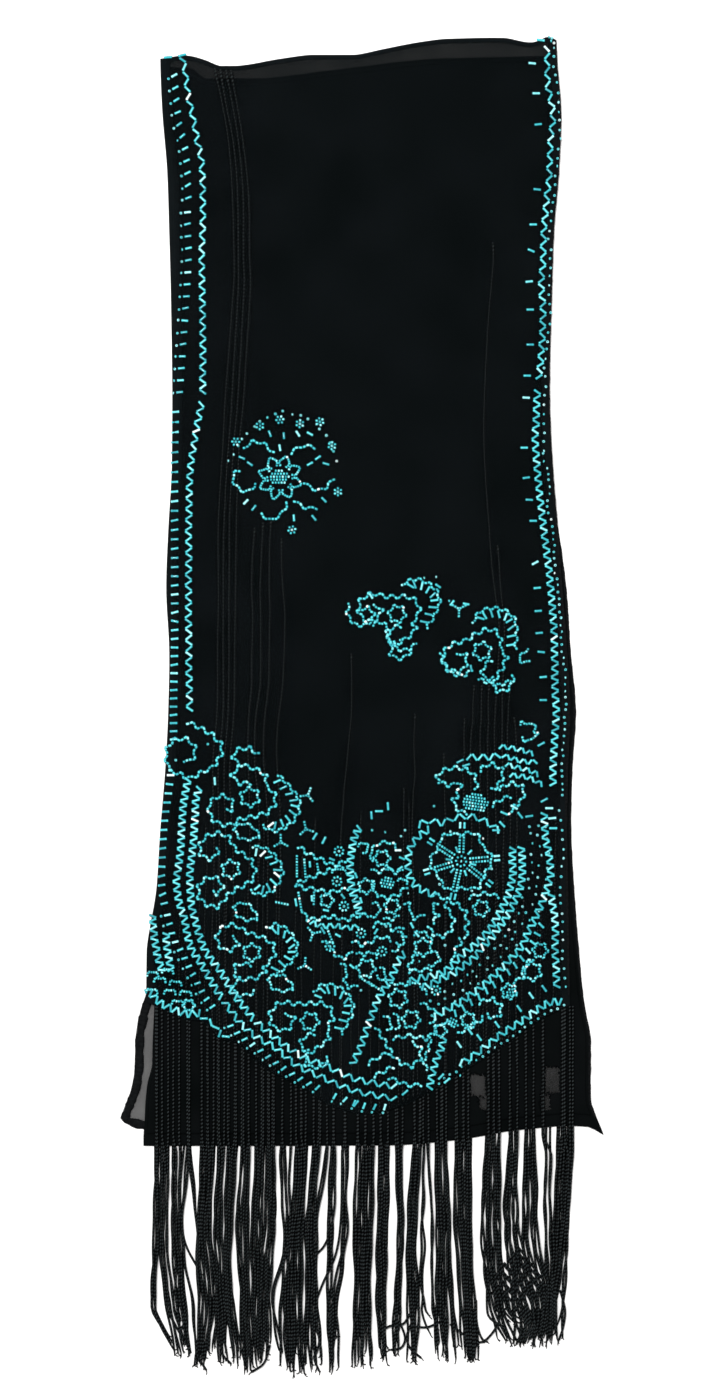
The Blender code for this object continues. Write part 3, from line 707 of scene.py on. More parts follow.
class BeadWork:
    """The beads of one area, laid out in steps, which become one mesh."""

    def __init__(self, name, seed):
        self.name = name
        self.dice = np.random.default_rng(seed)
        self.bugles = []
        self.shorts = []
        self.seeds = []

    def bugle(self, x, y, turn, length=BUGLE):
        rows = np.stack(np.broadcast_arrays(x, y, turn, length), axis=-1)
        self.bugles.append(rows.reshape(-1, 4).astype(float))

    def short(self, x, y, turn, length=SHORT):
        rows = np.stack(np.broadcast_arrays(x, y, turn, length), axis=-1)
        self.shorts.append(rows.reshape(-1, 4).astype(float))

    def seed(self, x, y):
        rows = np.stack(np.broadcast_arrays(x, y), axis=-1)
        self.seeds.append(rows.reshape(-1, 2).astype(float))

    def wobble(self, shape, amount):
        return self.dice.normal(0.0, amount, shape)

    def zigzag(self, turns, period, period_end=None, length=BUGLE, first_side=1.0):
        """Bugles from side to side of a line, two to a period."""
        path = curve(turns)
        at = spaced(path, period / 2, (period_end or period) / 2)
        place, turn = along(path, at)
        step = np.gradient(at)
        half = 0.5 * np.sqrt(np.maximum((length + 1.0) ** 2 - step**2, (0.4 * length) ** 2))
        side = first_side * (-1.0) ** np.arange(len(at))
        corners = place + sideways(turn) * (half * side)[:, None]
        corners = corners + self.wobble(corners.shape, 0.22)
        run = corners[1:] - corners[:-1]
        middle = (corners[1:] + corners[:-1]) / 2
        self.bugle(middle[:, 0], middle[:, 1], np.arctan2(run[:, 1], run[:, 0]), length)

    def scroll(self, turns, wave=2.6, leg=5.6, closed=False):
        """Short tubes, two to a leg, along a line that zigzags softly from side to side."""
        path = curve(turns, closed)
        length = distances(path)[-1]
        legs = max(2, 2 * round(length / leg / 2))
        place, turn = along(path, np.linspace(0, length, legs + 1))
        swing = wave * (-1.0) ** np.arange(legs + 1)
        corners = place + sideways(turn) * swing[:, None]
        corners[1:-1] = corners[1:-1] + self.wobble(corners[1:-1].shape, 0.3)
        if closed:
            corners[-1] = corners[0]
        self.two_by_two(corners)

    def two_by_two(self, corners):
        """Two short tubes in a row from each corner to the next."""
        halfway = (corners[1:] + corners[:-1]) / 2 + self.wobble(corners[1:].shape, 0.15)
        ends = np.empty((2 * len(corners) - 1, 2))
        ends[0::2] = corners
        ends[1::2] = halfway
        run = ends[1:] - ends[:-1]
        middle = (ends[1:] + ends[:-1]) / 2
        spans = np.hypot(run[:, 0], run[:, 1])
        turn = np.arctan2(run[:, 1], run[:, 0]) + self.wobble(spans.shape, 0.06)
        self.short(middle[:, 0], middle[:, 1], turn, np.clip(spans - 0.35, 2.3, 4.0))

    def star(self, x, y, radius, points=6, depth=0.2, turn=0.0):
        """A closed ring of short tubes with a blunt point to every fourth tube."""
        angle = turn + math.pi * np.arange(2 * points + 1) / points
        reach = radius * (1 - depth + depth * (-1.0) ** np.arange(2 * points + 1))
        self.two_by_two(np.stack([x + reach * np.cos(angle), y + reach * np.sin(angle)], axis=-1))

    def comb(self, turns, spacing, length=BUGLE * 0.9, lean=0.0, inward=7.0):
        """Bugles that stand on the inner side of a line, like the teeth of a comb."""
        path = curve(turns)
        at = np.arange(spacing * 0.5, distances(path)[-1], spacing)
        place, turn = along(path, at)
        place = place + sideways(turn) * inward
        across = turn + math.pi / 2 + lean + self.wobble(turn.shape, 0.12)
        self.bugle(place[:, 0], place[:, 1], across, length)

    def dashes(self, turns, spacing, lean=0.0, seeds_beyond=None, spacing_end=None):
        """Single bugles across a line, each with a seed bead beyond one end where it has one."""
        path = curve(turns)
        at = spaced(path, spacing, spacing_end or spacing)
        place, turn = along(path, at)
        across = turn + math.pi / 2 + lean + self.wobble(turn.shape, 0.09)
        if seeds_beyond:
            outward_by = np.stack([np.cos(across), np.sin(across)], axis=-1)
            ends = place + 0.75 * seeds_beyond * outward_by
            self.seed(ends[:, 0], ends[:, 1])
            place = place - 0.27 * seeds_beyond * outward_by
        self.bugle(place[:, 0], place[:, 1], across, BUGLE * (0.85 if seeds_beyond else 0.95))

    def seed_row(self, turns, spacing, loose=0.3):
        """Seed beads along a line."""
        path = curve(turns)
        at = np.arange(0.0, distances(path)[-1] + 0.01, spacing)
        place, _ = along(path, at)
        place = place + self.wobble(place.shape, loose)
        self.seed(place[:, 0], place[:, 1])

    def string(self, x, y, turn, count=7, spacing=2.9):
        """Small beads threaded tight together in a short straight string, so they lie on their sides."""
        far = (np.arange(count) - (count - 1) / 2) * spacing
        self.short(x + far * math.cos(turn), y + far * math.sin(turn), turn, SMALL)

    def flower(self, x, y, radius=4.2, petals=7):
        """A seed bead with a ring of small beads round it, threaded one after another."""
        angle = 2 * math.pi * np.arange(petals) / petals + self.dice.uniform(0, 1)
        self.seed(x, y)
        ring = angle + math.pi / 2
        self.short(x + radius * np.cos(angle), y + radius * np.sin(angle), ring, SMALL)

    def fork(self, x, y, turn, arm=5.5):
        """Three strings of seed beads that meet like a Y."""
        for k in range(3):
            angle = turn + 2.1 * (k - 1)
            self.string(x + arm * math.cos(angle) * 0.8, y + arm * math.sin(angle) * 0.8, angle, 3)

    def pad(self, x, y, half_width, half_height, turn=0.0):
        """An oval filled with rows of tight small beads."""
        pitch = 2.95
        rows = np.arange(-half_height, half_height + 0.1, pitch)
        for row in rows:
            reach = half_width * math.sqrt(max(0.0, 1 - (row / (half_height + 0.8)) ** 2))
            for k in np.arange(-reach, reach + 0.1, pitch):
                self.short(
                    x + k * math.cos(turn) - row * math.sin(turn),
                    y + k * math.sin(turn) + row * math.cos(turn),
                    turn + self.dice.normal(0, 0.15),
                    SMALL,
                )

    def build(self, material):
        """Joins the beads to one mesh, each lying on the face with both its ends. Every bead has a tone of
        its own, and
        a value of painted light and shade: 1 where its colour is painted lightest, and 0 at its sides and in
        its hole."""
        kinds = [
            (self.bugles, bead_shape(TUBE_RINGS, 8), TUBE_RADIUS),
            (self.shorts, bead_shape(SHORT_RINGS, 8), SHORT_RADIUS),
        ]
        points, quads, tones, painted_lights, total = [], [], [], [], 0
        parts = []
        for rows, (shape, faces), radius in kinds:
            if rows:
                # Painted highlight and shade on tubes: lightest along the top and on the shoulders, dark at
                # the sides and the holes
                painted_light = np.clip(shape[:, 3], 0, 1) * np.interp(shape[:, 1], *PAINTED_SHOULDER_LIGHT)
                parts.append((lay_tubes(np.concatenate(rows), shape, radius), faces, painted_light, 0.0))
        if self.seeds:
            shape, faces = seed_shape(8)
            rim = np.hypot(shape[:, 0], shape[:, 1]) > 0.9
            # Painted shade on seeds: light on the upper half, darker on the outer rim, dark underneath and
            # in the hole
            painted_light = np.where(shape[:, 2] > 0, 1.0, np.where(rim, 0.6, 0.0))
            parts.append((self.lay_seeds(np.concatenate(self.seeds), shape), faces, painted_light, 0.7))
        for made, faces, painted_light, darkest in parts:
            count, size, _ = made.shape
            points.append(made.reshape(-1, 3))
            quads.append((faces[None] + (total + size * np.arange(count))[:, None, None]).reshape(-1, 4))
            tones.append(np.repeat(self.dice.uniform(darkest, 1, count), size))
            painted_lights.append(np.tile(painted_light, count))
            total += count * size
        piece = make_piece(self.name, np.concatenate(points), np.concatenate(quads), material)
        for name, values in (("tone", tones), ("painted_light", painted_lights)):
            layer = piece.data.attributes.new(name, "FLOAT", "POINT")
            layer.data.foreach_set("value", np.concatenate(values).astype(np.float32))
        return piece

    def lay_seeds(self, rows, shape):
        across, down = step_place(rows[:, 0], rows[:, 1])
        size = SEED_RADIUS * self.dice.uniform(0.9, 1.08, len(rows))
        height = face_top(across, down) + size * 0.62
        tip = self.dice.uniform(-0.5, 0.5, (len(rows), 2))
        on_edge = self.dice.uniform(0, 1, len(rows)) < 0.35
        tip[on_edge, 0] += 1.3
        height = height + np.where(on_edge, size * 0.3, 0.0)
        up = np.stack([np.sin(tip[:, 0]), np.sin(tip[:, 1]) * 0.6, np.cos(tip[:, 0])], axis=-1)
        up /= np.linalg.norm(up, axis=-1, keepdims=True)
        side = np.cross(up, (0.0, 1.0, 0.0))
        side /= np.linalg.norm(side, axis=-1, keepdims=True)
        front = np.cross(up, side)
        axes = np.stack([side, front, up], axis=1)
        turned = np.einsum("pk,nkc->npc", shape, axes)
        return points_at(across, down, height)[:, None] + turned * size[:, None, None] * MM


def step_place(x, y):
    """Across and down in millimetres of a place in steps."""
    return (np.asarray(x) - STEPS_LEFT) * STEP, (np.asarray(y) - STEPS_ABOVE) * STEP


def lay_tubes(rows, shape, radius):
    """Tubular beads on the face: each lies along the line between its two ends, at the cloth's height."""
    x, y, turn, length = rows.T
    half = 0.5 * (length - 0.1)
    ends = []
    for sign in (-1.0, 1.0):
        across, down = step_place(x + sign * half * np.cos(turn), y + sign * half * np.sin(turn))
        ends.append(points_at(across, down, face_top(across, down) + radius * 0.94))
    middle = (ends[0] + ends[1]) / 2
    axis = ends[1] - ends[0]
    size = np.linalg.norm(axis, axis=-1)
    axis = axis / size[:, None]
    side = np.cross((0.0, 0.0, 1.0), axis)
    side /= np.linalg.norm(side, axis=-1, keepdims=True)
    up = np.cross(axis, side)
    far = shape[:, 0] * (size[:, None] / 2 - shape[:, 1] * MM)
    made = middle[:, None] + far[..., None] * axis[:, None]
    made = made + shape[:, 2][:, None] * radius * MM * side[:, None]
    return made + shape[:, 3][:, None] * radius * MM * up[:, None]


def colour(code, alpha=1.0):
    """An sRGB hex colour as the linear values that the nodes take."""
    parts = [int(code[k : k + 2], 16) / 255 for k in (1, 3, 5)]
    return tuple(c / 12.92 if c <= 0.04045 else ((c + 0.055) / 1.055) ** 2.4 for c in parts) + (alpha,)


class Nodes:
    """A material's node tree, to which nodes are added one by one."""

    def __init__(self, name):
        self.material = bpy.data.materials.new(name)
        self.material.use_nodes = True
        self.tree = self.material.node_tree
        self.shader = self.tree.nodes["Principled BSDF"]

    def add(self, kind, settings=None, **links):
        """Adds a node; 'links' gives its sockets a value, or the socket that feeds them."""
        node = self.tree.nodes.new(kind)
        for key, value in (settings or {}).items():
            setattr(node, key, value)
        for key, value in links.items():
            socket = node.inputs[int(key[1:])] if key[0] == "n" and key[1:].isdigit() else node.inputs[key]
            if isinstance(value, bpy.types.NodeSocket):
                self.tree.links.new(value, socket)
            else:
                socket.default_value = value
        return node

    def feed(self, socket, value):
        """Gives one of the shader's sockets a value, or the socket that feeds it."""
        if isinstance(value, bpy.types.NodeSocket):
            self.tree.links.new(value, self.shader.inputs[socket])
        else:
            self.shader.inputs[socket].default_value = value

    def ramp(self, value, *steps):
        """A colour ramp: (place, colour) for each stop."""
        node = self.add("ShaderNodeValToRGB", n0=value)
        while len(node.color_ramp.elements) < len(steps):
            node.color_ramp.elements.new(0.5)
        for element, (place, shade) in zip(node.color_ramp.elements, steps):
            element.position = place
            element.color = shade
        return node.outputs["Color"]


def chiffon(name, see_through, shade, light_shade):
    """Crepe chiffon: silk twisted hard and woven open, so it has a fine pebbled grain, hardly any gloss and
    a faint warp and weft, and light passes between the threads. They are drawn 0.75 mm apart, about three
    times as coarse as real ones, so that they show. Where "double" is 1, no light passes."""
    nodes = Nodes(name)
    where = nodes.add("ShaderNodeTexCoord").outputs["Object"]
    pebble = nodes.add("ShaderNodeTexNoise", Vector=where, Scale=900.0, Detail=3.0, Roughness=0.6)
    cloudy = nodes.add("ShaderNodeTexNoise", Vector=where, Scale=22.0, Detail=4.0, Roughness=0.55)
    warp = nodes.add(
        "ShaderNodeTexWave", {"bands_direction": "X"}, Vector=where, Scale=420.0, Distortion=0.6, Detail=1.0
    )
    weft = nodes.add(
        "ShaderNodeTexWave", {"bands_direction": "Y"}, Vector=where, Scale=420.0, Distortion=0.6, Detail=1.0
    )
    weave = nodes.add(
        "ShaderNodeMath", {"operation": "MAXIMUM"}, n0=warp.outputs["Fac"], n1=weft.outputs["Fac"]
    )
    relief = nodes.add(
        "ShaderNodeMath",
        {"operation": "MULTIPLY_ADD"},
        n0=pebble.outputs["Fac"],
        n1=0.9,
        n2=weave.outputs["Value"],
    )
    nodes.feed(
        "Base Color", nodes.ramp(cloudy.outputs["Fac"], (0.3, colour(shade)), (0.75, colour(light_shade)))
    )
    bump = nodes.add("ShaderNodeBump", Strength=0.35, Distance=0.0003, Height=relief.outputs["Value"])
    nodes.feed("Normal", bump.outputs["Normal"])
    nodes.feed("Roughness", 0.85)
    nodes.feed("Specular IOR Level", 0.03)
    if see_through > 0:
        hole = nodes.add(
            "ShaderNodeMapRange",
            n0=cloudy.outputs["Fac"],
            n1=0.35,
            n2=0.7,
            n3=1.0 - see_through - 0.03,
            n4=1.0 - see_through + 0.03,
        )
        double = nodes.add("ShaderNodeAttribute", {"attribute_name": "double"})
        closed = nodes.add(
            "ShaderNodeMath", {"operation": "MAXIMUM"}, n0=hole.outputs["Result"], n1=double.outputs["Fac"]
        )
        nodes.feed("Alpha", closed.outputs["Value"])
    return nodes.material


def twisted_cord(name, shade, light_shade, pitch):
    """Rayon cord of two plies: smooth shiny thread twisted tight. Light and shade are painted into its
    colour: the crests of the plies are painted light in slanting dots as highlights, the grooves between
    them keep the cord's dark colour, and the sides of the cord are painted dark as shade. The map's u is
    nought a twelfth of a turn above one side of a cord with six faces round it. The pitch is in millimetres,
    a little longer than a real one's, so that the twist shows."""
    nodes = Nodes(name)
    way = nodes.add("ShaderNodeSeparateXYZ", n0=nodes.add("ShaderNodeUVMap").outputs["UV"])
    wound = nodes.add(
        "ShaderNodeMath",
        {"operation": "MULTIPLY_ADD"},
        n0=way.outputs["Y"],
        n1=1.0 / pitch,
        n2=way.outputs["X"],
    )
    angle = nodes.add("ShaderNodeMath", {"operation": "MULTIPLY"}, n0=wound.outputs["Value"], n1=2 * math.pi)
    crest = nodes.add("ShaderNodeMath", {"operation": "SINE"}, n0=angle.outputs["Value"])
    ply = nodes.add("ShaderNodeMapRange", n0=crest.outputs["Value"], n1=-1.0, n2=1.0, n3=0.0, n4=1.0)
    # Painted shade: the colour darkens down the sides of the cord and is lightest along its top
    round_by = nodes.add(
        "ShaderNodeMath",
        {"operation": "MULTIPLY_ADD"},
        n0=way.outputs["X"],
        n1=2 * math.pi,
        n2=math.pi / 6,
    )
    upward = nodes.add("ShaderNodeMath", {"operation": "SINE"}, n0=round_by.outputs["Value"])
    painted_light = nodes.add("ShaderNodeMapRange", n0=upward.outputs["Value"], n1=0.3, n2=0.95, n3=0.0, n4=1.0)
    level = nodes.add(
        "ShaderNodeMath", {"operation": "MULTIPLY"}, n0=ply.outputs["Result"], n1=painted_light.outputs["Result"]
    )
    where = nodes.add("ShaderNodeTexCoord").outputs["Object"]
    fibre = nodes.add("ShaderNodeTexNoise", Vector=where, Scale=1400.0, Detail=2.0)
    relief = nodes.add(
        "ShaderNodeMath",
        {"operation": "MULTIPLY_ADD"},
        n0=fibre.outputs["Fac"],
        n1=0.25,
        n2=level.outputs["Value"],
    )
    # Painted highlight: the crests of the plies are coloured lighter than the dark grooves and sides
    nodes.feed(
        "Base Color", nodes.ramp(relief.outputs["Value"], (0.5, colour(shade)), (0.95, colour(light_shade)))
    )
    bump = nodes.add("ShaderNodeBump", Strength=0.8, Distance=0.0004, Height=relief.outputs["Value"])
    nodes.feed("Normal", bump.outputs["Normal"])
    nodes.feed("Roughness", 0.6)
    nodes.feed("Specular IOR Level", 0.03)
    return nodes.material


def hem_cloth(name):
    """The same chiffon rolled tight and oversewn: three or four layers, so nothing shows through, with knobs
    where the stitches pull the roll in, one each 3.2 mm."""
    nodes = Nodes(name)
    way = nodes.add("ShaderNodeSeparateXYZ", n0=nodes.add("ShaderNodeUVMap").outputs["UV"])
    angle = nodes.add("ShaderNodeMath", {"operation": "MULTIPLY"}, n0=way.outputs["Y"], n1=2 * math.pi / 3.2)
    stitch = nodes.add("ShaderNodeMath", {"operation": "SINE"}, n0=angle.outputs["Value"])
    where = nodes.add("ShaderNodeTexCoord").outputs["Object"]
    crumple = nodes.add("ShaderNodeTexNoise", Vector=where, Scale=380.0, Detail=3.0)
    relief = nodes.add(
        "ShaderNodeMath",
        {"operation": "MULTIPLY_ADD"},
        n0=stitch.outputs["Value"],
        n1=0.3,
        n2=crumple.outputs["Fac"],
    )
    nodes.feed(
        "Base Color", nodes.ramp(crumple.outputs["Fac"], (0.3, colour("#050607")), (0.8, colour("#101213")))
    )
    bump = nodes.add("ShaderNodeBump", Strength=0.9, Distance=0.0008, Height=relief.outputs["Value"])
    nodes.feed("Normal", bump.outputs["Normal"])
    nodes.feed("Roughness", 0.8)
    nodes.feed("Specular IOR Level", 0.05)
    return nodes.material


def bead_glass(name):
    """Turquoise glass beads with a satin body and fire-polished skin: the body is even and milky, the skin
    is smooth and throws small white glints, and the pieces differ a little in tone. Light and shade are also
    painted
    into the colour: each bead is painted lightest on its top and shoulders and painted dark round its rim
    and in its hole."""
    nodes = Nodes(name)
    tone = nodes.add("ShaderNodeAttribute", {"attribute_name": "tone"}).outputs["Fac"]
    body = nodes.ramp(
        tone,
        (0.0, colour("#1e97a2")),
        (0.35, colour("#31b5bf")),
        (0.8, colour("#54d3da")),
        (0.98, colour("#a3f0f4")),
        (0.992, colour("#f0fbfa")),
    )
    # Painted shade and highlight: the body colour is multiplied down to near black at each bead's sides, rim
    # and hole, and left full on its top and shoulders
    painted_light = nodes.add("ShaderNodeAttribute", {"attribute_name": "painted_light"}).outputs["Fac"]
    rim = nodes.ramp(painted_light, (0.0, colour("#101c1e")), (0.3, colour("#8a9a9c")), (0.62, colour("#ffffff")))
    where = nodes.add("ShaderNodeTexCoord").outputs["Object"]
    streak = nodes.add("ShaderNodeTexNoise", Vector=where, Scale=1600.0, Detail=2.0)
    veil = nodes.ramp(streak.outputs["Fac"], (0.3, colour("#9fb6b8")), (0.7, colour("#ffffff")))
    mixed = nodes.add("ShaderNodeMix", {"data_type": "RGBA", "blend_type": "MULTIPLY"})
    mixed.inputs["Factor"].default_value = 0.5
    nodes.tree.links.new(body, mixed.inputs[6])
    nodes.tree.links.new(veil, mixed.inputs[7])
    body_with_painted_shade = nodes.add("ShaderNodeMix", {"data_type": "RGBA", "blend_type": "MULTIPLY"})
    body_with_painted_shade.inputs["Factor"].default_value = 1.0
    nodes.tree.links.new(mixed.outputs[2], body_with_painted_shade.inputs[6])
    nodes.tree.links.new(rim, body_with_painted_shade.inputs[7])
    nodes.feed("Base Color", body_with_painted_shade.outputs[2])
    bump = nodes.add("ShaderNodeBump", Strength=0.15, Distance=0.0002, Height=streak.outputs["Fac"])
    nodes.feed("Normal", bump.outputs["Normal"])
    nodes.feed("Roughness", 0.22)
    nodes.feed("IOR", 1.52)
    nodes.feed("Specular IOR Level", 0.3)
    nodes.feed("Coat Weight", 0.35)
    nodes.feed("Coat Roughness", 0.1)
    return nodes.material


def plain_floor(name):
    """Matt white paper, which has no pattern to see at this distance beyond a trace of grain."""
    nodes = Nodes(name)
    where = nodes.add("ShaderNodeTexCoord").outputs["Object"]
    grain = nodes.add("ShaderNodeTexNoise", Vector=where, Scale=300.0, Detail=2.0)
    nodes.feed(
        "Base Color", nodes.ramp(grain.outputs["Fac"], (0.3, colour("#f4f3f2")), (0.7, colour("#f8f7f6")))
    )
    nodes.feed("Roughness", 0.9)
    nodes.feed("Specular IOR Level", 0.1)
    return nodes.material


def edge_height(across, down, sides, upper, lower, base):
    """Height of a hidden cloth's upper side, which turns down a little along its four edges."""
    inset = np.minimum(across - smooth(sides, down, 1), smooth(sides, down, 2) - across)
    inset = np.minimum(inset, np.minimum(down - smooth(upper, across), smooth(lower, across) - down))
    return base + LAYER * (0.55 + 0.45 * quarter_round(inset, 1.6)), inset


def fine_shares(coarse, fine_from, fine_until, fine):
    """Shares from 0 to 1 at about 'coarse', but at 'fine' between two of them and by both ends."""
    ends = np.array([0.0, 0.002, 0.005, 0.009])
    parts = [
        ends,
        np.arange(0.014, fine_from, coarse),
        np.arange(fine_from, fine_until, fine),
        np.arange(fine_until, 0.988, coarse),
        1 - ends[::-1],
    ]
    return np.unique(np.concatenate(parts))


def cell_middles(values):
    return (values[:-1, :-1] + values[1:, :-1] + values[1:, 1:] + values[:-1, 1:]) / 4


def worn(x, y):
    """Whether places across and down lie in a worn place, whose border is ragged."""
    gone = np.zeros(x.shape, bool)
    for centre, level, width, height in WORN_PLACES:
        ragged = 0.7 * np.sin(1.9 * y + centre) + 0.5 * np.sin(4.3 * y)
        uneven = 0.7 * np.sin(2.3 * x + level) + 0.5 * np.sin(5.1 * x)
        wide = np.abs(x - centre - 0.05 * (y - level)) < width / 2 + ragged
        tall = np.abs(y - level) < height / 2 + uneven
        gone |= wide & tall
    return gone


def places_of(piece):
    """Across and down of a piece's points."""
    places = np.empty(3 * len(piece.data.vertices), np.float32)
    piece.data.vertices.foreach_get("co", places)
    return places[0::3] / MM, HALF_LENGTH - places[1::3] / MM


def mark(piece, values):
    """Stores the value "double": 1 where the cloth lets nothing show through, and 0 where it is sheer."""
    double = piece.data.attributes.new("double", "FLOAT", "POINT")
    double.data.foreach_set("value", values.astype(np.float32))


def mark_folds(face):
    """The face lies double by its two folds and by its right hem."""
    across, down = places_of(face)
    beside = 1 - ease(across - smooth(FACE_SIDES, down, 1), 6.0, 10.0)
    above = 1 - ease(down - smooth(FOLD_EDGE, across), 3.0, 5.0)
    hemmed = 1 - ease(smooth(FACE_SIDES, down, 2) - across, 5.0, 9.0)
    mark(face, np.maximum(hemmed, np.maximum(beside, above)))


def make_cloths(face_cloth_look, hidden_look, threadbare_look, sheer_look):
    shares_across = fine_shares(0.0105, 0.5, 0.5, 1)
    across, down = lie(FACE_SIDES, FOLD_EDGE, FACE_HEM, shares_across, fine_shares(0.0041, 0, 0, 1))
    face = shell("face_cloth", across, down, face_top(across, down), face_cloth_look)
    mark_folds(face)
    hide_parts("face_layer")

    shares_across = fine_shares(0.011, 0.715, 0.94, 0.0032)
    shares_down = fine_shares(0.018, 0.9, 0.988, 0.0018)
    x, y = lie(INNER_SIDES, INNER_UPPER, INNER_LOWER, shares_across, shares_down)
    top, inset = edge_height(x, y, INNER_SIDES, INNER_UPPER, INNER_LOWER, INNER_BASE)
    hem = 0.12 * (1 - ease(smooth(INNER_LOWER, x) - y, 8.5, 9.3))
    ripple = 0.1 * np.sin(x / 7.0 + 2.0 * np.sin(y / 19.0))
    top = top + hem + ripple * ease(inset, 0, 6)
    lower = shell("inner_lower_cloth", x, y, top, threadbare_look)
    mark(lower, ~worn(*places_of(lower)))
    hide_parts("inner_layers")

    upper_sides = INNER_SIDES + np.array([0.0, 2.6, -3.8])
    upper_top = INNER_UPPER + np.array([0.0, 4.0])
    upper_foot = INNER_LOWER - np.array([0.0, 9.0])
    x, y = lie(upper_sides, upper_top, upper_foot, shares_across, shares_down)
    top, inset = edge_height(x, y, upper_sides, upper_top, upper_foot, INNER_BASE + LAYER)
    ripple = 0.1 * np.sin(x / 9.0 + 1.7 * np.sin(y / 23.0))
    top = top + ripple * ease(inset, 0, 6)
    whole = ~worn(cell_middles(x), cell_middles(y))
    upper = shell("inner_upper_cloth", x, y, top, hidden_look, whole)
    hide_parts("inner_layers")

    back_top = FOLD_EDGE + np.array([0.0, BACK_SHY_OF_FOLD])
    shares_down = fine_shares(0.012, 0.9, 0.97, 0.004)
    x, y = lie(BACK_SIDES, back_top, BACK_LOWER, fine_shares(0.012, 0.0, 0.06, 0.006), shares_down)
    top, inset = edge_height(x, y, BACK_SIDES, back_top, BACK_LOWER, 0.0)
    ripple = 0.12 * np.sin(y / 6.0 + 2.0 * np.sin(x / 9.0)) * ease(inset, 0, 5)
    back = shell("back_cloth", x, y, np.maximum(top - 0.2 + ripple, CLOTH + 0.05), sheer_look)
    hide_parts("back_layer")
    return face, upper, lower, back


def rolled_hem(name, across, down, height, width, flatness, look, seed):
    """A narrow rolled hem along an edge: a flattened tube whose width swells and narrows unevenly."""
    dice = np.random.default_rng(seed)
    path = np.stack([across, down], axis=-1)
    far = distances(path)
    at = np.arange(0.0, far[-1], 2.4)
    place, _ = along(path, at)
    level = np.interp(at, far, height)
    knob = 1 + 0.12 * np.sin(at / 2.1 + 2 * np.sin(at / 17)) + dice.normal(0, 0.07, len(at))
    from_end = np.minimum(np.arange(len(at)), np.arange(len(at))[::-1])
    radii = width / 2 * knob * np.minimum(1.0, 0.35 + from_end / 3)
    lines = points_at(place[:, 0], place[:, 1], level)[None]
    return tubes(name, lines, radii[None], 8, look, flatness)


def make_hems(look):
    """Rolled hems: round the free corner, and down the right edges of the face and of the hidden layers."""
    down = np.linspace(716.0, 811.0, 60)
    foot = np.linspace(-178.0, -158.0, 12)
    across = np.concatenate([smooth(BACK_SIDES, down, 1) + 3.5, foot])
    down = np.concatenate([down, smooth(BACK_LOWER, foot) - 3.0])
    corner = rolled_hem("hem_free_corner", across, down, np.full(len(down), 1.2), 6.9, 0.26, look, 3)

    down = np.linspace(6.0, 722.0, 240)
    across = smooth(FACE_SIDES, down, 2) - 0.9
    face = rolled_hem("hem_face_right", across, down, face_top(across, down) - 0.1, 2.0, 0.5, look, 5)

    down = np.linspace(330.0, 815.0, 170)
    across = smooth(INNER_SIDES, down, 2) - 1.0
    level = np.full(len(down), INNER_BASE + 0.75)
    inner = rolled_hem("hem_inner_right", across, down, level, 2.2, 0.5, look, 7)
    return corner, face, inner


def even_line(path, count):
    """The same number of points at even distances along any path."""
    place, _ = along(path, np.linspace(0.0, distances(path)[-1], count))
    return place


def cord_lines(routes, count, lift, dice, sway):
    """Lines on the face for cords stitched down on it, with the small wander of a hand-sewn line."""
    lines = []
    for route in routes:
        place = even_line(curve(route), count)
        bends = dice.normal(0, 1, (count + 17) // 9)
        wander = sway * np.interp(np.arange(count), np.arange(0, count + 9, 9), bends)
        across = place[:, 0] + wander
        lines.append(points_at(across, place[:, 1], face_top(across, place[:, 1]) + lift))
    return np.array(lines)


def knotted(lines, knot, radius):
    """Radii of even cords with a knot at their first stops."""
    radii = np.full(lines.shape[:2], radius)
    radii[:, : len(knot)] = knot
    return radii


def make_couched_cords(look):
    dice = np.random.default_rng(12)
    routes = list(COUCHED_CORDS.values())
    lines = cord_lines(routes, 180, 0.45, dice, 0.25)
    cords = tubes("couched_cords", lines, knotted(lines, COUCHED_KNOT, COUCHED_RADIUS), 6, look)
    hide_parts(*["cord_" + name for name in COUCHED_CORDS])

    routes = []
    for x in np.arange(178.0, 556.0, 9.6):
        across = (x + 1.8 * math.sin(2.3 * x) - STEPS_LEFT) * STEP
        foot = float(smooth(FACE_HEM, across)) - 2.0
        start = 575.0 + 95.0 * abs(math.sin(x * 1.7)) - 0.1 * abs(across)
        if foot - start > 40:
            routes.append([(across + 1.0, start), (across, (start + foot) / 2), (across - 0.3, foot)])
    thin = cord_lines(routes, 40, 0.2, dice, 0.5)
    panel = tubes("panel_cords", thin, knotted(thin, PANEL_KNOT, PANEL_RADIUS), 6, look)
    return cords, panel


def beside_worn(x):
    """A place in steps moved to the nearer side of a worn place, since the cords part round them."""
    for centre, _, width, _ in WORN_PLACES[::2]:
        middle = centre / STEP + STEPS_LEFT
        reach = width / STEP / 2 + 2
        if abs(x - middle) < reach:
            return middle + math.copysign(reach, x - middle)
    return x


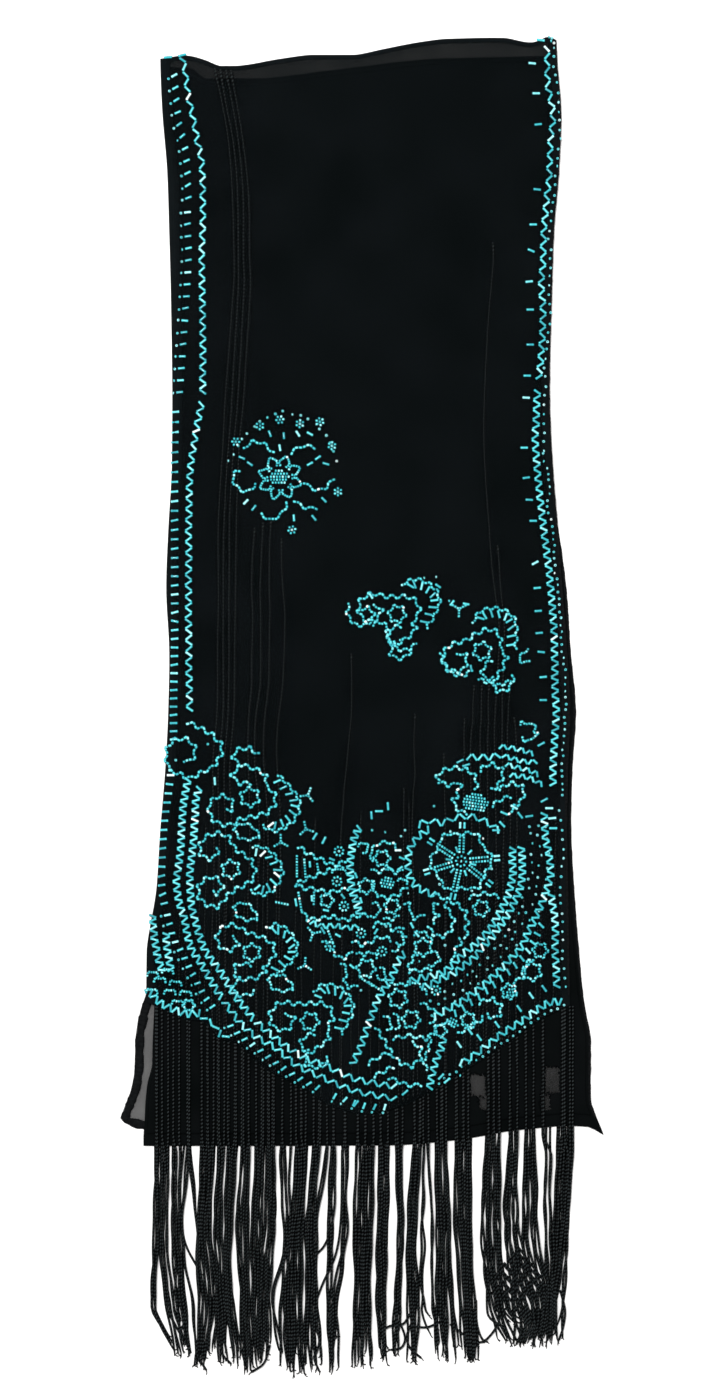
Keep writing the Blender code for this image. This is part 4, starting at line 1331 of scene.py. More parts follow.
def fringe_lines(front, seed):
    """Centre lines of a fringe as (strand, stop, xyz): from roots along a hem, two by two as far as the
    cloth below reaches, through the spans of their lock at three levels, to loose tips, with a slow wave
    and a quick small one. The back fringe lies below the front one, in the same locks, and goes from its
    roots straight to the second level."""
    dice = np.random.default_rng(seed)
    t = np.linspace(0.0, 1.0, 56 if front else 40)
    lines = []
    for count, left_1, right_1, left_2, right_2, left_3, right_3, shift, end, waviness in LOCKS:
        wander = dice.uniform(0, 2 * math.pi)
        if not front and count >= 4:
            count += 1
        for k in range(count):
            share = (k + 0.5) / count
            loose = dice.normal(0, 0.5 if front else 0.8, 3)
            spans = ((left_1, right_1), (left_2, right_2), (left_3, right_3))
            hang = [left + (right - left) * share + loose[i] for i, (left, right) in enumerate(spans)]
            root_x = hang[0]
            if front:
                pair = (k // 2 + 0.5) / max(1, (count + 1) // 2)
                root_x = beside_worn(left_1 - 1.5 + (right_1 - left_1 + 3.0) * pair + loose[1])
                root_x += 0.5 * (k % 2)
            hem = FACE_HEM if front else INNER_LOWER
            root_y = float(smooth(hem, (root_x - STEPS_LEFT) * STEP)) / STEP + STEPS_ABOVE
            root_y += 0.6 if front else -1.0
            tip_x = hang[2] + shift + dice.normal(0, 2.0)
            tip_y = end - dice.uniform(0, 1) ** 2 * (22 if front else 36)
            paired = (PAIRED_UNTIL, root_x + 0.4 * loose[0])
            levels = np.array(((root_y, root_x), paired, *zip(LOCK_LEVELS, hang), (tip_y, tip_x)))
            if not front:
                levels = levels[[0, 3, 4, 5]]
            y = root_y + t * (tip_y - root_y)
            free = ease(y, LOCK_LEVELS[0] - 20, LOCK_LEVELS[1])
            x = smooth(levels, y)
            x = x + waviness * free * np.sin(y / 21.0 + wander + 0.4 * k)
            x = x + 0.45 * waviness * (0.35 + free) * ease(t, 0, 0.1) * np.sin(y / 8.5 + dice.uniform(0, 6))
            across, down = step_place(x, y)
            if front:
                over = OVER_CLOTH + (PAST_CLOTH - OVER_CLOTH) * ease(down, *CLOTH_FOOT)
                height = over - 1.1 * ease(t, 0.86, 1.0) + 0.45 * (k % 2) * ease(t, 0.0, 0.2)
            else:
                height = BACK_HEIGHT + 0.25 * (k % 2) + 0 * t
            lines.append(points_at(across, down, height))
    return np.array(lines)


def frayed(lines, seed):
    """The two plies at the end of each strand, which spread apart and curl."""
    dice = np.random.default_rng(seed)
    end = lines[:, -1]
    run = lines[:, -1] - lines[:, -4]
    run /= np.linalg.norm(run, axis=-1, keepdims=True)
    count = len(lines)
    t = np.linspace(0.0, 1.0, 8)
    plies = []
    for side in (-1.0, 1.0):
        length = dice.uniform(2.5, 6.5, count)[:, None] * MM
        curl = dice.normal(0, 0.9, count)[:, None]
        lean = side * dice.uniform(0.05, 0.3, count)[:, None]
        turned = lean * t + curl * t**2
        onward = run[:, :1] * np.cos(turned) - run[:, 1:2] * np.sin(turned)
        aside = run[:, :1] * np.sin(turned) + run[:, 1:2] * np.cos(turned)
        ahead = np.stack([onward, aside], axis=-1)
        moved = np.cumsum(ahead, axis=1) * length[..., None] / len(t)
        ply = np.zeros((count, len(t), 3))
        ply[..., :2] = end[:, None, :2] + moved - run[:, None, :2] * 2 * MM
        ply[..., 2] = end[:, 2:3] + (0.9 * MM - end[:, 2:3]) * t + 0.2 * MM
        plies.append(ply)
    return np.concatenate(plies)


def tapered(lines, radius):
    """Radii of even cords that grow thin at their last stops."""
    radii = np.full(lines.shape[:2], radius)
    radii[:, -3:] *= (0.95, 0.85, 0.6)
    return radii


def make_fringe(look, thin_look):
    front = fringe_lines(True, 21)
    back = fringe_lines(False, 34)
    front_piece = tubes("fringe_front_cords", front, tapered(front, FRONT_RADIUS), 6, look)
    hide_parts("fringe_front")
    back_piece = tubes("fringe_back_cords", back, tapered(back, BACK_RADIUS), 6, look)
    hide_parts("fringe_back")
    strays = []
    first, last = np.array(SLANTED, float)
    shares = np.linspace(0, 1, 13)
    bundle = [first + (last - first) * (share + 0.02 * math.sin(40 * share)) for share in shares]
    for route in (*STRAYS, *bundle):
        place = even_line(curve(route), 40)
        across, down = step_place(place[:, 0], place[:, 1])
        strays.append(points_at(across, down, STRAY_HEIGHT + 0.4 * np.sin(np.linspace(0, 5, 40))))
    strays = np.array(strays)
    stray_piece = tubes("fringe_stray_cords", strays, np.full(strays.shape[:2], STRAY_RADIUS), 6, look)
    ends = np.concatenate([frayed(front, 5), frayed(back, 6), frayed(strays, 7)])
    thin = np.full(ends.shape[:2], PLY_RADIUS) * np.linspace(1.0, 0.7, ends.shape[1])
    ends_piece = tubes("fringe_frayed_ends", ends, thin, 4, thin_look)
    return front_piece, back_piece, stray_piece, ends_piece


def left_border():
    work = BeadWork("beads_left_border", 1)
    work.bugle(168, 57, -0.05)
    work.bugle(182, 55, -0.3)
    work.zigzag(
        [
            (182, 57), (185, 70), (187, 84), (189, 99), (192, 112), (195, 127), (198, 143), (201, 157),
            (203, 184), (203, 224), (202, 253), (203, 330), (203, 396),
        ],
        15.0,
        10.8,
    )
    work.zigzag([(202, 402), (195, 440), (190, 480), (189, 560), (189, 640), (190, 712)], 10.8, 11)
    work.dashes(
        [(173, 77), (175, 100), (178, 126), (183, 145), (186, 172), (187, 200)], 12.3, -0.36, 6.5,
    )
    work.dashes(
        [(186, 213), (186, 230), (187, 256), (184, 310), (178, 395)], 12.0, -0.14, 6.5,
    )
    work.dashes([(176, 412), (175, 470), (175, 560), (175, 640), (174, 700), (174, 740)], 10.2, -0.05,
                None, 8.0)
    outer = [(189, 778), (186, 790), (183, 810), (182, 830), (181, 850), (178, 870), (177, 885),
             (180, 905), (185, 920), (190, 945), (202, 964), (213, 984), (224, 1000), (237, 1018),
             (253, 1034), (275, 1047), (297, 1065), (323, 1077), (348, 1088), (372, 1094), (400, 1099)]
    inner = [
        (200, 787), (196, 800), (195, 820), (193, 850), (190, 875), (192, 905), (199, 933), (207, 953),
        (221, 971), (231, 989), (241, 1003), (256, 1021), (275, 1037), (300, 1055), (328, 1066), (354, 1078),
        (378, 1083), (400, 1087),
    ]
    work.zigzag(outer[:13], 7.8, 8.8)
    work.zigzag(outer[12:], 11.5, 13.5)
    work.zigzag(inner[:12], 7.8, 9.0)
    work.zigzag(inner[11:], 11.0, 12.6)
    work.dashes([(171, 775), (168, 799), (165, 820), (163, 848), (162, 884), (165, 906)], 9.2, -0.1)
    work.dashes([(166, 915), (172, 938), (180, 952), (198, 987), (207, 1002), (213, 1009)], 9.4, 0.1, 6.3)
    work.dashes([(229, 1026), (240, 1037), (258, 1050), (277, 1065), (300, 1080), (318, 1089)], 9.8, 0.42,
                6.3)
    work.dashes([(334, 1097), (341, 1099), (360, 1106), (378, 1108), (387, 1108)], 10.4, 0.3, 6.0)
    for x, y, turn in ((204, 1018, 0.0), (211, 1022, 1.3), (216, 1027, 0.4), (220, 1033, 1.9),
                       (226, 1036, 0.1)):
        work.bugle(x, y, turn)
    work.scroll([(187, 722), (196, 726), (206, 731), (216, 738), (223, 748), (217, 761), (213, 768),
                 (203, 771), (195, 776), (189, 779), (180, 773), (170, 771)])
    work.scroll([(184, 760), (190, 762), (196, 752), (192, 742), (182, 738), (171, 742), (166, 752),
                 (167, 764), (172, 770)])
    work.seed(np.array([208, 176]), np.array([744, 760]))
    work.zigzag([(153, 914), (154, 930), (156, 945), (158, 957), (163, 972)], 7.8)
    work.zigzag([(166, 932), (167, 944), (169, 956), (172, 974)], 7.8)
    for x, y in ((153, 975), (168, 972), (160, 981), (176, 984), (152, 992), (170, 993), (186, 994),
                 (178, 1003)):
        work.scroll([(x - 7, y), (x, y - 4), (x + 7, y + 1)], 1.6, 4.4)
    work.star(189, 1005, 7.0)
    work.zigzag([(147, 988), (158, 1000), (174, 1009), (190, 1014), (202, 1012)], 8.4)
    return work


# A cloud motif round its star, in steps: the main line, a second curl and the line that the comb hangs from
CLOUD_LINE = (
    (9, -42), (-1, -49), (-14, -47), (-17, -38), (-8, -32), (6, -28), (17, -21), (15, -12), (23, -6),
    (26, 4), (21, 13), (10, 18), (-7, 21), (-22, 28), (-36, 24), (-41, 12), (-38, 3), (-27, -2), (-16, 5),
    (-18, 13), (-24, 14),
)
CLOUD_CURL = ((-10, -31), (-18, -23), (-12, -14), (2, -14))
CLOUD_COMB = ((28, -23), (37, -14), (45, -5), (50, 5), (49, 14), (43, 24), (34, 31), (22, 34), (12, 28))
TWO_CURL_LINE = (
    (-13, -23), (-15, -14), (-24, -10), (-33, -18), (-30, -31), (-16, -38), (-3, -34), (4, -22), (13, -16),
    (22, -9), (26, 4), (21, 13), (6, 21), (-5, 29), (-14, 40), (-29, 35), (-35, 24), (-30, 12), (-18, 8),
    (-8, 16), (-13, 26), (-20, 24),
)
TWO_CURL_COMB = ((22, -24), (33, -23), (44, -17), (52, -6), (55, 4), (50, 15), (43, 23), (33, 27), (20, 22))


def placed(shape, x, y, size, turn=0.0, flip=1.0):
    """A motif's line moved to its place, turned, and mirrored when flip is -1."""
    points = np.asarray(shape, float) * size
    points[:, 1] *= flip
    cosine, sine = math.cos(turn), math.sin(turn)
    spun_x = points[:, 0] * cosine - points[:, 1] * sine
    spun_y = points[:, 0] * sine + points[:, 1] * cosine
    return np.stack([x + spun_x, y + spun_y], axis=-1)


def cloud(work, x, y, size, turn=0.0, flip=1.0, two_curls=False):
    """A scrolled cloud with a star in it and a comb fan beside it."""
    line = TWO_CURL_LINE if two_curls else CLOUD_LINE
    comb = TWO_CURL_COMB if two_curls else CLOUD_COMB
    work.scroll(placed(line, x, y, size, turn, flip))
    if not two_curls:
        work.scroll(placed(CLOUD_CURL, x, y, size, turn, flip))
    rim = placed(comb, x, y, size, turn, flip)
    work.scroll(rim, 1.9, 5.2)
    work.comb(rim, 9.0, BUGLE, 0.25 * flip, 5.6 * flip)
    work.star(x, y, 11.5 * max(size, 0.85), 6, 0.2, 0.4 + turn)


def leaf_chain(work, x, y, turn, length=28.0):
    """Two waved lines that meet at both ends."""
    for side in (-1.0, 1.0):
        shape = [(-0.5, 0.0), (-0.2, 0.28 * side), (0.2, 0.22 * side), (0.5, 0.0)]
        work.scroll(placed(shape, x, y, length, turn), 1.6, 5)


def left_panel():
    work = BeadWork("beads_left_panel", 2)
    cloud(work, 250, 797, 1.0)
    cloud(work, 231, 869, 0.95, two_curls=True)
    cloud(work, 252, 952, 0.9, 0.12, -1.0)
    cloud(work, 310, 1021, 0.93, -0.28, -1.0)
    leaf_chain(work, 247, 832, 0.3)
    leaf_chain(work, 246, 912, 0.5)
    leaf_chain(work, 281, 983, 0.4)
    for x, y, turn in ((308, 795, 0.9), (281, 842, 0.5), (306, 829, 2.4), (305, 965, 0.6), (313, 933, 1.9)):
        work.fork(x, y, turn)
    for x, y, turn in ((315, 836, -1.0), (324, 840, -1.1), (215, 781, 1.5), (323, 930, 1.05),
                       (296, 902, 1.4)):
        work.bugle(x, y, turn)
    work.string(282, 903, 0.2, 5)
    return work


def rosette(work, x, y):
    """A wheel: a ring of seeds, double spokes of seeds with bugles between, and a scalloped rim."""
    work.flower(x, y, 5.0, 8)
    spokes = np.radians((-88.0, -5.0, 38.0, 103.0, 163.0, 213.0))
    for angle in spokes:
        for side in (-2.0, 2.0):
            centre_x = x + 18 * math.cos(angle) - side * math.sin(angle)
            centre_y = y + 18 * math.sin(angle) + side * math.cos(angle)
            work.string(centre_x, centre_y, angle, 7)
            out = angle + 0.03 * side
            work.bugle(x + 36 * math.cos(out), y + 36 * math.sin(out), angle, 6.8)
    for angle in np.radians((-46.0, 14.0, 70.0, 133.0, 188.0, 250.0)):
        work.bugle(x + 12.5 * math.cos(angle), y + 12.5 * math.sin(angle), angle, 6.6)
        work.seed(x + 31.5 * math.cos(angle), y + 31.5 * math.sin(angle))
    turn = np.linspace(0, 2 * math.pi, 48, endpoint=False)
    reach = 29.0 + 2.4 * np.cos(6 * turn + 0.3)
    ring = np.stack([x + reach * np.cos(turn), y + reach * np.sin(turn)], axis=-1)
    work.scroll(ring, 2.0, 6.0, closed=True)


def centre_panel():
    work = BeadWork("beads_centre_panel", 3)
    rosette(work, 461, 861)
    work.zigzag([(417, 826), (429, 820), (441, 823), (454, 818), (467, 816), (479, 818), (490, 824),
                 (503, 834)], 13)
    work.zigzag([(430, 828), (420, 835), (413, 843), (409, 852), (408, 864), (409, 875), (414, 884),
                 (425, 891), (437, 895)], 9.5)
    work.scroll([(432, 894), (441, 896), (453, 902), (461, 906), (466, 913), (467, 921), (466, 930),
                 (466, 939)])
    work.scroll([(468, 898), (478, 894), (490, 893), (500, 897)], 2.2, 6)
    work.star(481, 908, 9.5, 6, 0.2, 0.2)
    work.scroll([(429, 925), (432, 934), (444, 936), (452, 928), (453, 916), (447, 909), (445, 901)])
    work.scroll([(432, 923), (438, 915), (431, 907), (438, 902)])
    work.scroll([(461, 937), (459, 946), (453, 952), (453, 961)])
    work.star(423, 947, 10.5, 6, 0.2, 0.5)
    work.scroll([(408, 970), (411, 960), (417, 953)])
    work.scroll([(408, 971), (420, 970), (432, 968)])
    # Palm lines and small flowers left of the middle
    work.zigzag([(360, 826), (354, 838), (352, 850), (350, 868), (352, 888), (356, 902), (360, 915)], 7.4,
                6.2)
    for line, *waves in (
        ([(298, 846), (313, 856), (325, 861), (335, 865), (346, 860)],),
        ([(295, 883), (309, 878), (320, 874), (331, 869), (344, 866)],),
        ([(295, 884), (306, 888), (317, 889), (328, 893), (338, 890), (349, 888)],),
        ([(303, 910), (308, 919), (322, 918), (335, 916), (345, 920), (357, 915), (369, 915)],),
    ):
        work.scroll(line, *waves)
    work.star(327, 900, 8.0, 5, 0.2)
    for x, y, turn, count in ((297, 866, 1.57, 8), (305, 868, 1.5, 7), (318, 868, 1.4, 4),
                              (300, 901, 1.4, 7), (314, 898, 1.6, 5), (366, 981, 0.6, 6),
                              (375, 986, 0.6, 6), (330, 935, 1.2, 6)):
        work.string(x, y, turn, count)
    work.zigzag([(310, 921), (323, 926), (336, 925), (349, 928), (362, 924)], 8.4, length=6.6)
    for line, *waves in (
        ([(322, 940), (331, 946), (335, 955), (345, 958), (352, 950)], 1.9, 5),
        ([(341, 962), (347, 970), (344, 980), (350, 988), (358, 984)], 1.9, 5),
        ([(331, 872), (339, 868), (348, 873)], 1.6, 4.8),
        ([(357, 846), (364, 842), (369, 848), (363, 854)], 1.6, 4.8),
    ):
        work.scroll(line, *waves)
    for x, y, turn in ((310, 864, 1.5), (312, 898, 1.5), (326, 910, 0.2), (343, 896, 0.9), (361, 900, 1.3),
                       (332, 859, 0.4), (356, 875, 1.2), (352, 966, 0.7), (338, 935, 0.5)):
        work.bugle(x, y, turn, 6.6)
    for x, y in ((339, 851), (337, 881), (344, 906), (361, 933), (382, 951), (330, 946), (436, 990)):
        work.flower(x, y, 4.3, 8)
    # Rings and scrolls between the middle zigzag and the wheel
    work.scroll([(372, 862), (371, 850), (379, 843), (391, 842), (397, 848)], 1.8, 6)
    work.star(382, 858, 9.5, 6, 0.2)
    work.star(366, 886, 9.0, 6, 0.2, 0.4)
    work.pad(388, 883, 7, 5, 0.2)
    work.scroll([(377, 894), (388, 898), (400, 893), (407, 886)])
    work.star(392, 906, 9.0, 6, 0.2, 0.2)
    work.scroll([(404, 902), (412, 906), (410, 916), (419, 918), (424, 913)])
    work.scroll([(372, 926), (384, 922), (394, 930), (404, 926)])
    work.scroll([(352, 940), (362, 945), (372, 941), (381, 936), (392, 940)])
    work.star(366, 968, 11.0, 6, 0.2, 0.1)
    for line, *waves in (
        ([(371, 868), (379, 872), (387, 868), (396, 873), (403, 868)], 1.6, 4.6),
        ([(375, 880), (373, 889), (379, 897)], 1.6, 4.6),
        ([(397, 880), (404, 878), (408, 884)], 1.4, 4.6),
        ([(372, 902), (380, 905), (378, 914), (370, 917)], 1.6, 4.6),
        ([(383, 917), (392, 919), (399, 914)], 1.6, 4.6),
        ([(398, 930), (405, 938), (400, 947), (392, 952)], 1.8, 5),
        ([(356, 952), (364, 955), (372, 951), (378, 958)], 1.8, 5),
        ([(380, 966), (386, 972), (383, 981), (376, 975)], 1.6, 4.8),
        ([(413, 935), (420, 930), (428, 935), (433, 943)], 1.8, 5),
        ([(432, 950), (440, 955), (437, 963), (428, 966)], 1.8, 5),
        ([(388, 985), (395, 982), (404, 985), (412, 981), (421, 986), (428, 994)], 1.8, 5),
        ([(420, 1002), (429, 1006), (436, 1014), (430, 1024)], 1.8, 5),
        ([(394, 1012), (400, 1022), (396, 1030)], 1.8, 5),
        ([(431, 1036), (429, 1048), (424, 1060), (428, 1070)], 1.8, 5),
    ):
        work.scroll(line, *waves)
    for x, y in ((372, 830), (385, 832), (401, 836), (408, 893), (386, 926), (419, 961), (445, 945),
                 (361, 990)):
        work.seed(x, y)
    for x, y, turn in ((398, 850, 0.0), (402, 858, 0.4), (400, 868, -0.6), (390, 868, 0.5),
                       (412, 925, 1.1), (417, 934, 0.9), (376, 931, -1.0), (398, 944, 0.8),
                       (404, 936, 0.2), (357, 890, -0.3)):
        work.bugle(x, y, turn, 7.0)
    work.zigzag([(405, 952), (398, 961), (391, 978), (381, 993), (375, 1006), (368, 1026), (360, 1047),
                 (351, 1068)], 8.4, 9.5)
    work.star(398, 998, 11.0, 6, 0.2, 0.3)
    work.star(411, 1019, 10.5, 6, 0.2, 0.1)
    for line, *waves in (
        ([(376, 1026), (383, 1038), (390, 1050), (398, 1061), (411, 1066), (420, 1058), (420, 1046),
          (411, 1042)],),
        ([(392, 1038), (403, 1036), (416, 1036), (426, 1039), (434, 1032), (443, 1022), (453, 1024)],),
        ([(367, 1064), (377, 1057), (390, 1052)],),
        ([(373, 1076), (383, 1071), (394, 1066)],),
        ([(388, 1077), (400, 1082), (411, 1085), (422, 1084)],),
        ([(384, 1014), (392, 1022), (388, 1031)],),
    ):
        work.scroll(line, *waves)
    for x, y, turn in ((371.5, 815, 1.5), (379, 811, 0.0), (388, 806, 1.5), (405, 1092, -0.7),
                       (356, 1103, -0.9)):
        work.bugle(x, y, turn)
    work.seed(np.array([405, 434, 418, 460]), np.array([830, 806, 1012, 1075]))
    return work


def right_panel():
    work = BeadWork("beads_right_panel", 4)
    # Layered scallops and scrolls above the wheel
    work.zigzag([(466, 757), (478, 757), (490, 757), (502, 754)], 11.5)
    rows = (
        [(499, 746), (512, 748), (524, 751), (536, 755)],
        [(502, 755), (514, 759), (528, 762), (541, 761)],
        [(505, 764), (517, 767), (531, 771), (541, 776)],
        [(509, 775), (523, 776), (534, 780), (546, 786)],
    )
    for row in rows:
        work.zigzag(row, 9.0, length=6.4)
    for line, *waves in (
        ([(438, 781), (438, 774), (451, 768), (466, 769), (476, 778), (476, 790)],),
        ([(438, 781), (451, 786), (459, 781), (459, 793), (452, 802), (460, 811), (468, 813)],),
        ([(479, 771), (488, 764), (500, 767), (503, 776), (497, 786), (491, 790)],),
        ([(498, 789), (511, 783), (523, 787), (523, 796), (520, 803), (511, 808), (510, 815)],),
        ([(491, 806), (500, 800), (511, 796)],),
    ):
        work.scroll(line, *waves)
    work.pad(476, 803, 12.5, 8.5, 0.15)
    for x, y, turn in ((460, 761, -0.45), (466, 765, -0.3), (504, 813, 0.4), (502, 824, 0.8),
                       (520, 815, 0.9), (529, 816, -0.15), (514, 807, 0.5), (544, 800, -0.5),
                       (549, 808, 0.0), (552, 818, -0.1), (553, 828, 0.0), (541, 744, -0.5),
                       (496, 830, 0.0)):
        work.bugle(x, y, turn)
    # Double zigzag to the right of the wheel
    work.zigzag(
        [
            (513, 847), (512, 862), (513, 874), (511, 884), (508, 896), (503, 906), (498, 915), (492, 925),
            (485, 934), (476, 943), (466, 951), (458, 958), (449, 968), (441, 973), (430, 976), (416, 978),
            (406, 983),
        ],
        7.3,
        9.6,
    )
    work.zigzag(
        [
            (521, 846), (522, 862), (522, 877), (520, 888), (514, 902), (505, 919), (498, 928), (491, 938),
            (482, 947), (475, 956), (464, 965), (453, 973), (439, 979), (430, 984), (416, 988),
        ],
        7.3,
        9.6,
    )
    # Second zigzag further right, with single bugles along its outer side
    second = [
        (544, 812), (545, 833), (548, 852), (551, 872), (548, 885), (544, 897), (539, 909), (532, 924),
        (526, 935), (522, 946), (509, 960), (491, 978), (473, 993), (463, 1000), (443, 1011), (432, 1018),
    ]
    work.zigzag(second, 8.2, 9.8)
    work.dashes([(541, 925), (534, 940), (526, 953), (514, 966), (500, 979), (484, 992), (468, 1004),
                 (452, 1015)], 9.6, 0.25)
    # Seeds scattered between the two
    for side, spacing in ((0.0, 9.0), (8.5, 10.0), (16.0, 14.0)):
        work.seed_row(
            [
                (529 + side, 826), (532 + side, 850), (531 + side, 873), (526 + side, 896),
                (514 + 0.8 * side, 921 + 0.4 * side), (498 + 0.7 * side, 946 + 0.7 * side),
                (476 + 0.5 * side, 968 + 0.8 * side), (450 + 0.4 * side, 986 + 0.9 * side),
                (425 + 0.3 * side, 1001 + side),
            ],
            spacing, 1.1,
        )
    # Third zigzag by the edge, and the pointed hem's
    work.zigzag([(551, 893), (555, 923), (555, 945), (556, 970), (557, 992)], 8.8, 9.4)
    work.zigzag(
        [
            (562, 1001), (549, 1002), (537, 1009), (524, 1019), (509, 1028), (498, 1036), (488, 1044),
            (469, 1058), (456, 1064),
        ],
        7.8,
        12.5,
    )
    work.zigzag([(444, 1036), (441, 1048), (436, 1060), (432, 1074), (429, 1090)], 8.4, 8.8)
    work.bugle(np.array([441, 447]), np.array([1076, 1080]), np.array([-0.8, -0.7]))
    work.seed_row([(564, 1005), (549, 1012), (537, 1019), (522, 1029), (504, 1041), (482, 1056), (464, 1066),
                   (449, 1075), (438, 1084)], 7.4, 0.5)
    work.seed_row([(560, 812), (562, 840), (562, 868), (560, 895), (562, 925), (562, 955), (565, 990)],
                  9.2, 0.7)
    for x, y in ((544, 988), (531, 995), (519, 1008), (497, 1024), (479, 1037), (459, 1044), (470, 1031)):
        work.bugle(x, y, 0.95)
    # Corner motifs between the second zigzag and the hem
    work.star(532, 971, 11.0, 6, 0.2, 0.4)
    work.star(540, 950, 9.0, 6, 0.2, 0.1)
    work.star(509, 991, 9.0, 6, 0.2, 0.3)
    work.pad(512, 993, 5, 4)
    work.star(468, 1019, 8.5, 6, 0.2, 0.3)
    work.pad(452, 1023, 6, 4, 0.5)
    work.star(440, 1030, 8.0, 5, 0.2, 0.1)
    work.scroll([(478, 1003), (492, 998), (502, 1008), (496, 1018), (486, 1014)])
    work.scroll([(512, 982), (522, 978), (524, 966), (533, 958)])
    work.scroll([(484, 1016), (476, 1024), (466, 1028), (458, 1034)])
    return work


def right_border():
    work = BeadWork("beads_right_border", 5)
    work.bugle(541, 40, 0.2)
    work.seed(np.array([549, 552, 551, 554]), np.array([37, 38, 41, 43]))
    work.zigzag(
        [
            (547, 46), (547, 68), (548, 89), (552, 107), (553, 119), (551, 136), (550, 155), (549, 178),
            (546, 206), (543, 237), (543, 260), (541, 285), (543, 313), (541, 357), (538, 383),
        ],
        14.2,
        11.6,
    )
    work.zigzag(
        [
            (537, 390), (536, 420), (535, 439), (537, 471), (541, 509), (546, 548), (549, 573), (553, 618),
            (554, 646), (555, 692), (556, 715), (553, 761), (553, 790),
        ],
        10.0,
        8.9,
    )
    seeds = [
        (554, 48), (554, 67), (557, 86), (559, 110), (560, 131), (558, 160), (555, 179), (552, 214),
        (550, 237), (549, 289), (550, 322), (547, 337), (545, 369), (546, 381), (544, 409), (544, 443),
        (543, 455), (547, 469), (549, 492), (547, 505), (553, 535), (554, 564), (557, 583), (560, 618),
        (562, 646), (565, 679), (564, 730), (562, 758), (562, 800),
    ]
    work.seed_row(seeds[:17], 9.2, 0.7)
    work.seed_row(seeds[16:], 6.6, 0.6)
    places = ((532, 64, 0.1), (536, 94, 0.0), (538, 125, -0.1), (537, 190, 0.1), (533, 225, 0.0),
              (531, 251, 0.4), (529, 282, -0.1), (530, 310, 0.0), (530, 345, 0.0), (527, 376, 0.0),
              (526, 398, 0.05), (524, 448, 0.0), (526, 478, -0.14), (529, 500, 0.05), (533, 521, 0.0),
              (535, 563, -0.5), (537, 588, -0.1), (538, 611, -0.08), (539, 633, -0.1), (541, 652, 0.1),
              (543, 677, -0.1), (543, 700, 0.0))
    for x, y, turn in places:
        work.bugle(x, y, turn, 7.8)
    work.scroll([(519, 725), (523, 721), (529, 725), (536, 724), (533, 730), (539, 735), (531, 738),
                 (527, 742), (521, 737)], 1.5, 5)
    return work


def spray(work, x, y):
    """A flower spray: a filled centre, petals of seeds, waved stems, leaves of bugles and loose seeds."""
    work.pad(x, y, 9, 7)
    for k in range(8):
        angle = 0.3 + k * math.pi / 4
        shape = [(11, -3), (17, -5), (22, 0), (17, 5), (11, 3)]
        work.scroll(placed(shape, x, y, 1.0, angle), 0.6, 5)
    stems = (
        [(24, 4), (34, 12), (46, 10), (54, 0)],
        [(-23, 6), (-32, 14), (-42, 10), (-48, -2), (-40, -8)],
        [(8, 24), (2, 36), (-10, 42), (-20, 36)],
        [(14, 22), (24, 30), (38, 30)],
        [(-6, -24), (-16, -34), (-28, -36), (-36, -28)],
        [(10, -24), (22, -32), (36, -30)],
    )
    for stem in stems:
        work.scroll(placed(stem, x, y, 1.0), 1.9, 6)
    leaves = (
        (30, -14, -0.5), (38, -20, -0.6), (46, -14, 0.3), (-30, -14, 0.6), (-38, -20, 0.4), (0, -30, 1.4),
        (4, -42, 1.5), (-10, -44, 1.2), (18, -44, 1.0), (30, -44, 0.5), (-34, 24, -0.8), (-26, 30, -0.9),
        (44, 22, 0.8), (34, 40, 0.9), (14, 40, 1.5),
    )
    for dx, dy, turn in leaves:
        work.bugle(x + dx, y + dy, turn, 7.2)
    for dx, dy in ((20, -54), (40, -56), (0, -58), (52, -32), (-44, -36), (58, 14), (-20, -52), (12, 52)):
        work.flower(x + dx, y + dy, 3.4, 6)
    work.seed_row(placed([(-50, -16), (-30, -48), (10, -66), (44, -44), (62, -12)], x, y, 1.0), 8.5, 1.0)


def upper_motifs():
    work = BeadWork("beads_upper_motifs", 6)
    spray(work, 280, 478)
    cloud(work, 397, 614, 0.9, -0.22, -1.0)
    cloud(work, 482, 651, 0.92, -0.72, -1.0)
    work.fork(459, 609, -0.5)
    work.seed(np.array([449, 436, 424, 400]), np.array([601, 577, 578, 640]))
    work.bugle(471, 668, 1.4, 7.0)
    for line, *waves in (
        ([(529, 649), (522, 653), (518, 659), (524, 663), (530, 660)], 1.2, 5),
        ([(350, 603), (347, 612), (352, 622), (362, 626), (371, 622), (374, 613), (366, 607),
          (359, 612)], 2, 5),
        ([(372, 625), (381, 622), (389, 628), (388, 640), (396, 648), (408, 650), (416, 642)], 2.2, 5),
        ([(441, 652), (444, 664), (453, 674), (464, 676), (472, 669)], 2.2, 5),
        ([(478, 678), (489, 683), (500, 685), (511, 680)], 2.0, 5),
    ):
        work.scroll(line, *waves)
    for x, y, turn in ((452, 603, -0.9), (466, 604, 0.2), (438, 586, 0.6), (371, 596, 1.0)):
        work.bugle(x, y, turn, 7.0)
    return work


def make_camera():
    eye = bpy.data.cameras.new("camera")
    eye.lens = 85.0
    eye.sensor_width = 36.0
    eye.clip_start = 0.05
    made = bpy.data.objects.new("camera", eye)
    made.location = (0.0004, 0.0016, 2.482)
    bpy.context.scene.collection.objects.link(made)
    bpy.context.scene.camera = made


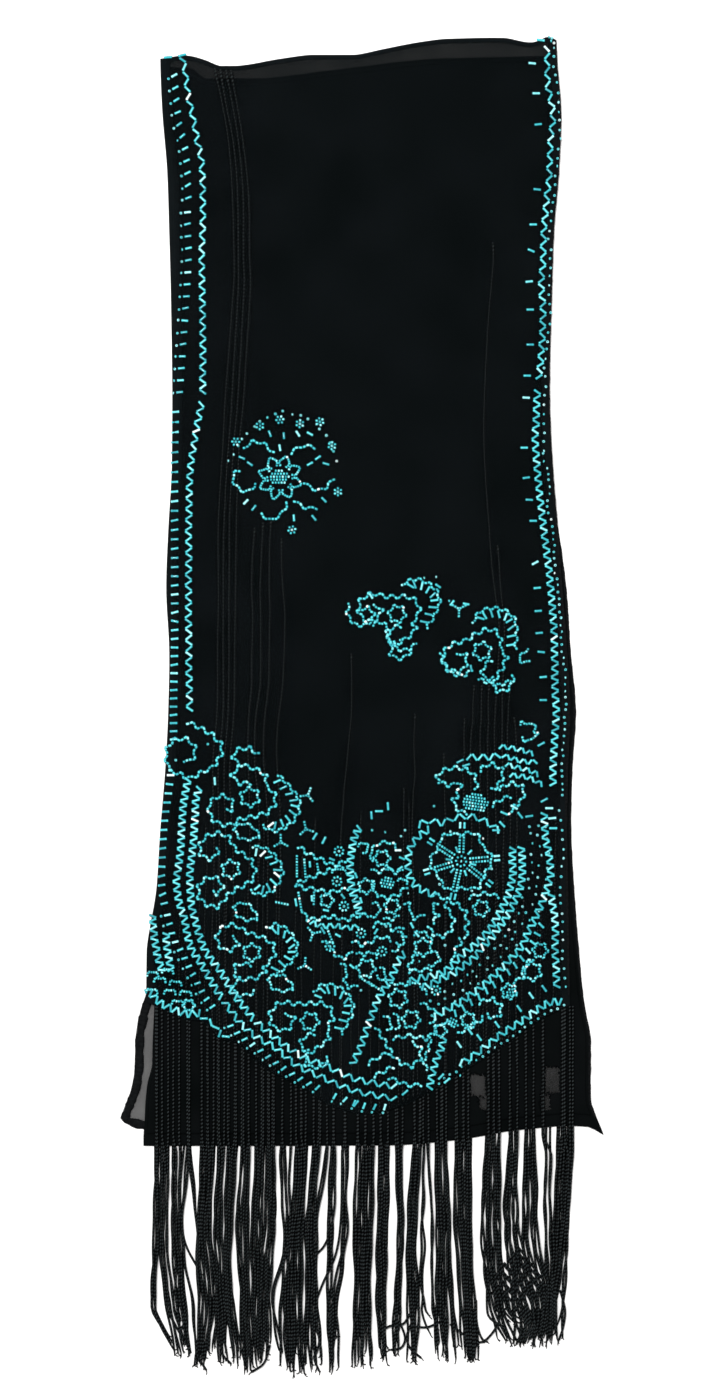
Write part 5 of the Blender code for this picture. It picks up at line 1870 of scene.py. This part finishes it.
def make_light(name, place, size, power, aim=(0.0, 0.0, 0.0)):
    lamp = bpy.data.lights.new(name, "AREA")
    lamp.shape = "SQUARE"
    lamp.size = size
    lamp.energy = power
    made = bpy.data.objects.new(name, lamp)
    made.location = place
    run = np.array(aim) - np.array(place)
    made.rotation_euler = (
        math.atan2(math.hypot(run[0], run[1]), -run[2]),
        0.0,
        math.atan2(run[0], -run[1]) if run[0] or run[1] else 0.0,
    )
    bpy.context.scene.collection.objects.link(made)


def make_studio():
    """A plain pale floor under soft light from above, brighter from the upper left."""
    world = bpy.data.worlds.new("soft_light")
    bpy.context.scene.world = world
    world.use_nodes = True
    world.node_tree.nodes["Background"].inputs["Color"].default_value = (1.0, 1.0, 1.0, 1.0)
    world.node_tree.nodes["Background"].inputs["Strength"].default_value = 0.72
    make_light("high_light", (-0.45, 0.6, 2.7), 0.7, 95.0)
    make_light("side_light", (1.6, -0.4, 1.9), 1.6, 14.0)
    mesh = bpy.data.meshes.new("floor")
    mesh.from_pydata([(-3, -3, 0), (3, -3, 0), (3, 3, 0), (-3, 3, 0)], [], [(0, 1, 2, 3)])
    mesh.materials.append(plain_floor("matt_white_paper"))
    floor = bpy.data.objects.new("floor", mesh)
    bpy.context.scene.collection.objects.link(floor)
    bpy.context.scene.view_settings.view_transform = "Standard"


def main():
    make_camera()
    make_studio()
    face_look = chiffon("crepe_chiffon_face", 0.5, "#05090a", "#0c1012")
    hidden_look = chiffon("crepe_chiffon_hidden", 0.0, "#020404", "#07090a")
    threadbare_look = chiffon("crepe_chiffon_threadbare", 0.7, "#020404", "#07090a")
    sheer_look = chiffon("crepe_chiffon_back", 0.56, "#080a0b", "#0e1112")
    hem_look = hem_cloth("crepe_chiffon_rolled_hem")
    cord_look = twisted_cord("rayon_cord", "#010101", "#272c2d", 2.8)
    thin_look = twisted_cord("rayon_ply", "#010101", "#1c1f20", 1.6)
    glass = bead_glass("satin_glass_beads")

    face, upper, lower, back = make_cloths(face_look, hidden_look, threadbare_look, sheer_look)
    corner_hem, face_hem, inner_hem = make_hems(hem_look)
    cords, panel = make_couched_cords(cord_look)
    fringe = make_fringe(cord_look, thin_look)
    for work in (left_border(), left_panel(), centre_panel(), right_panel(), right_border(), upper_motifs()):
        work.build(glass)


main()
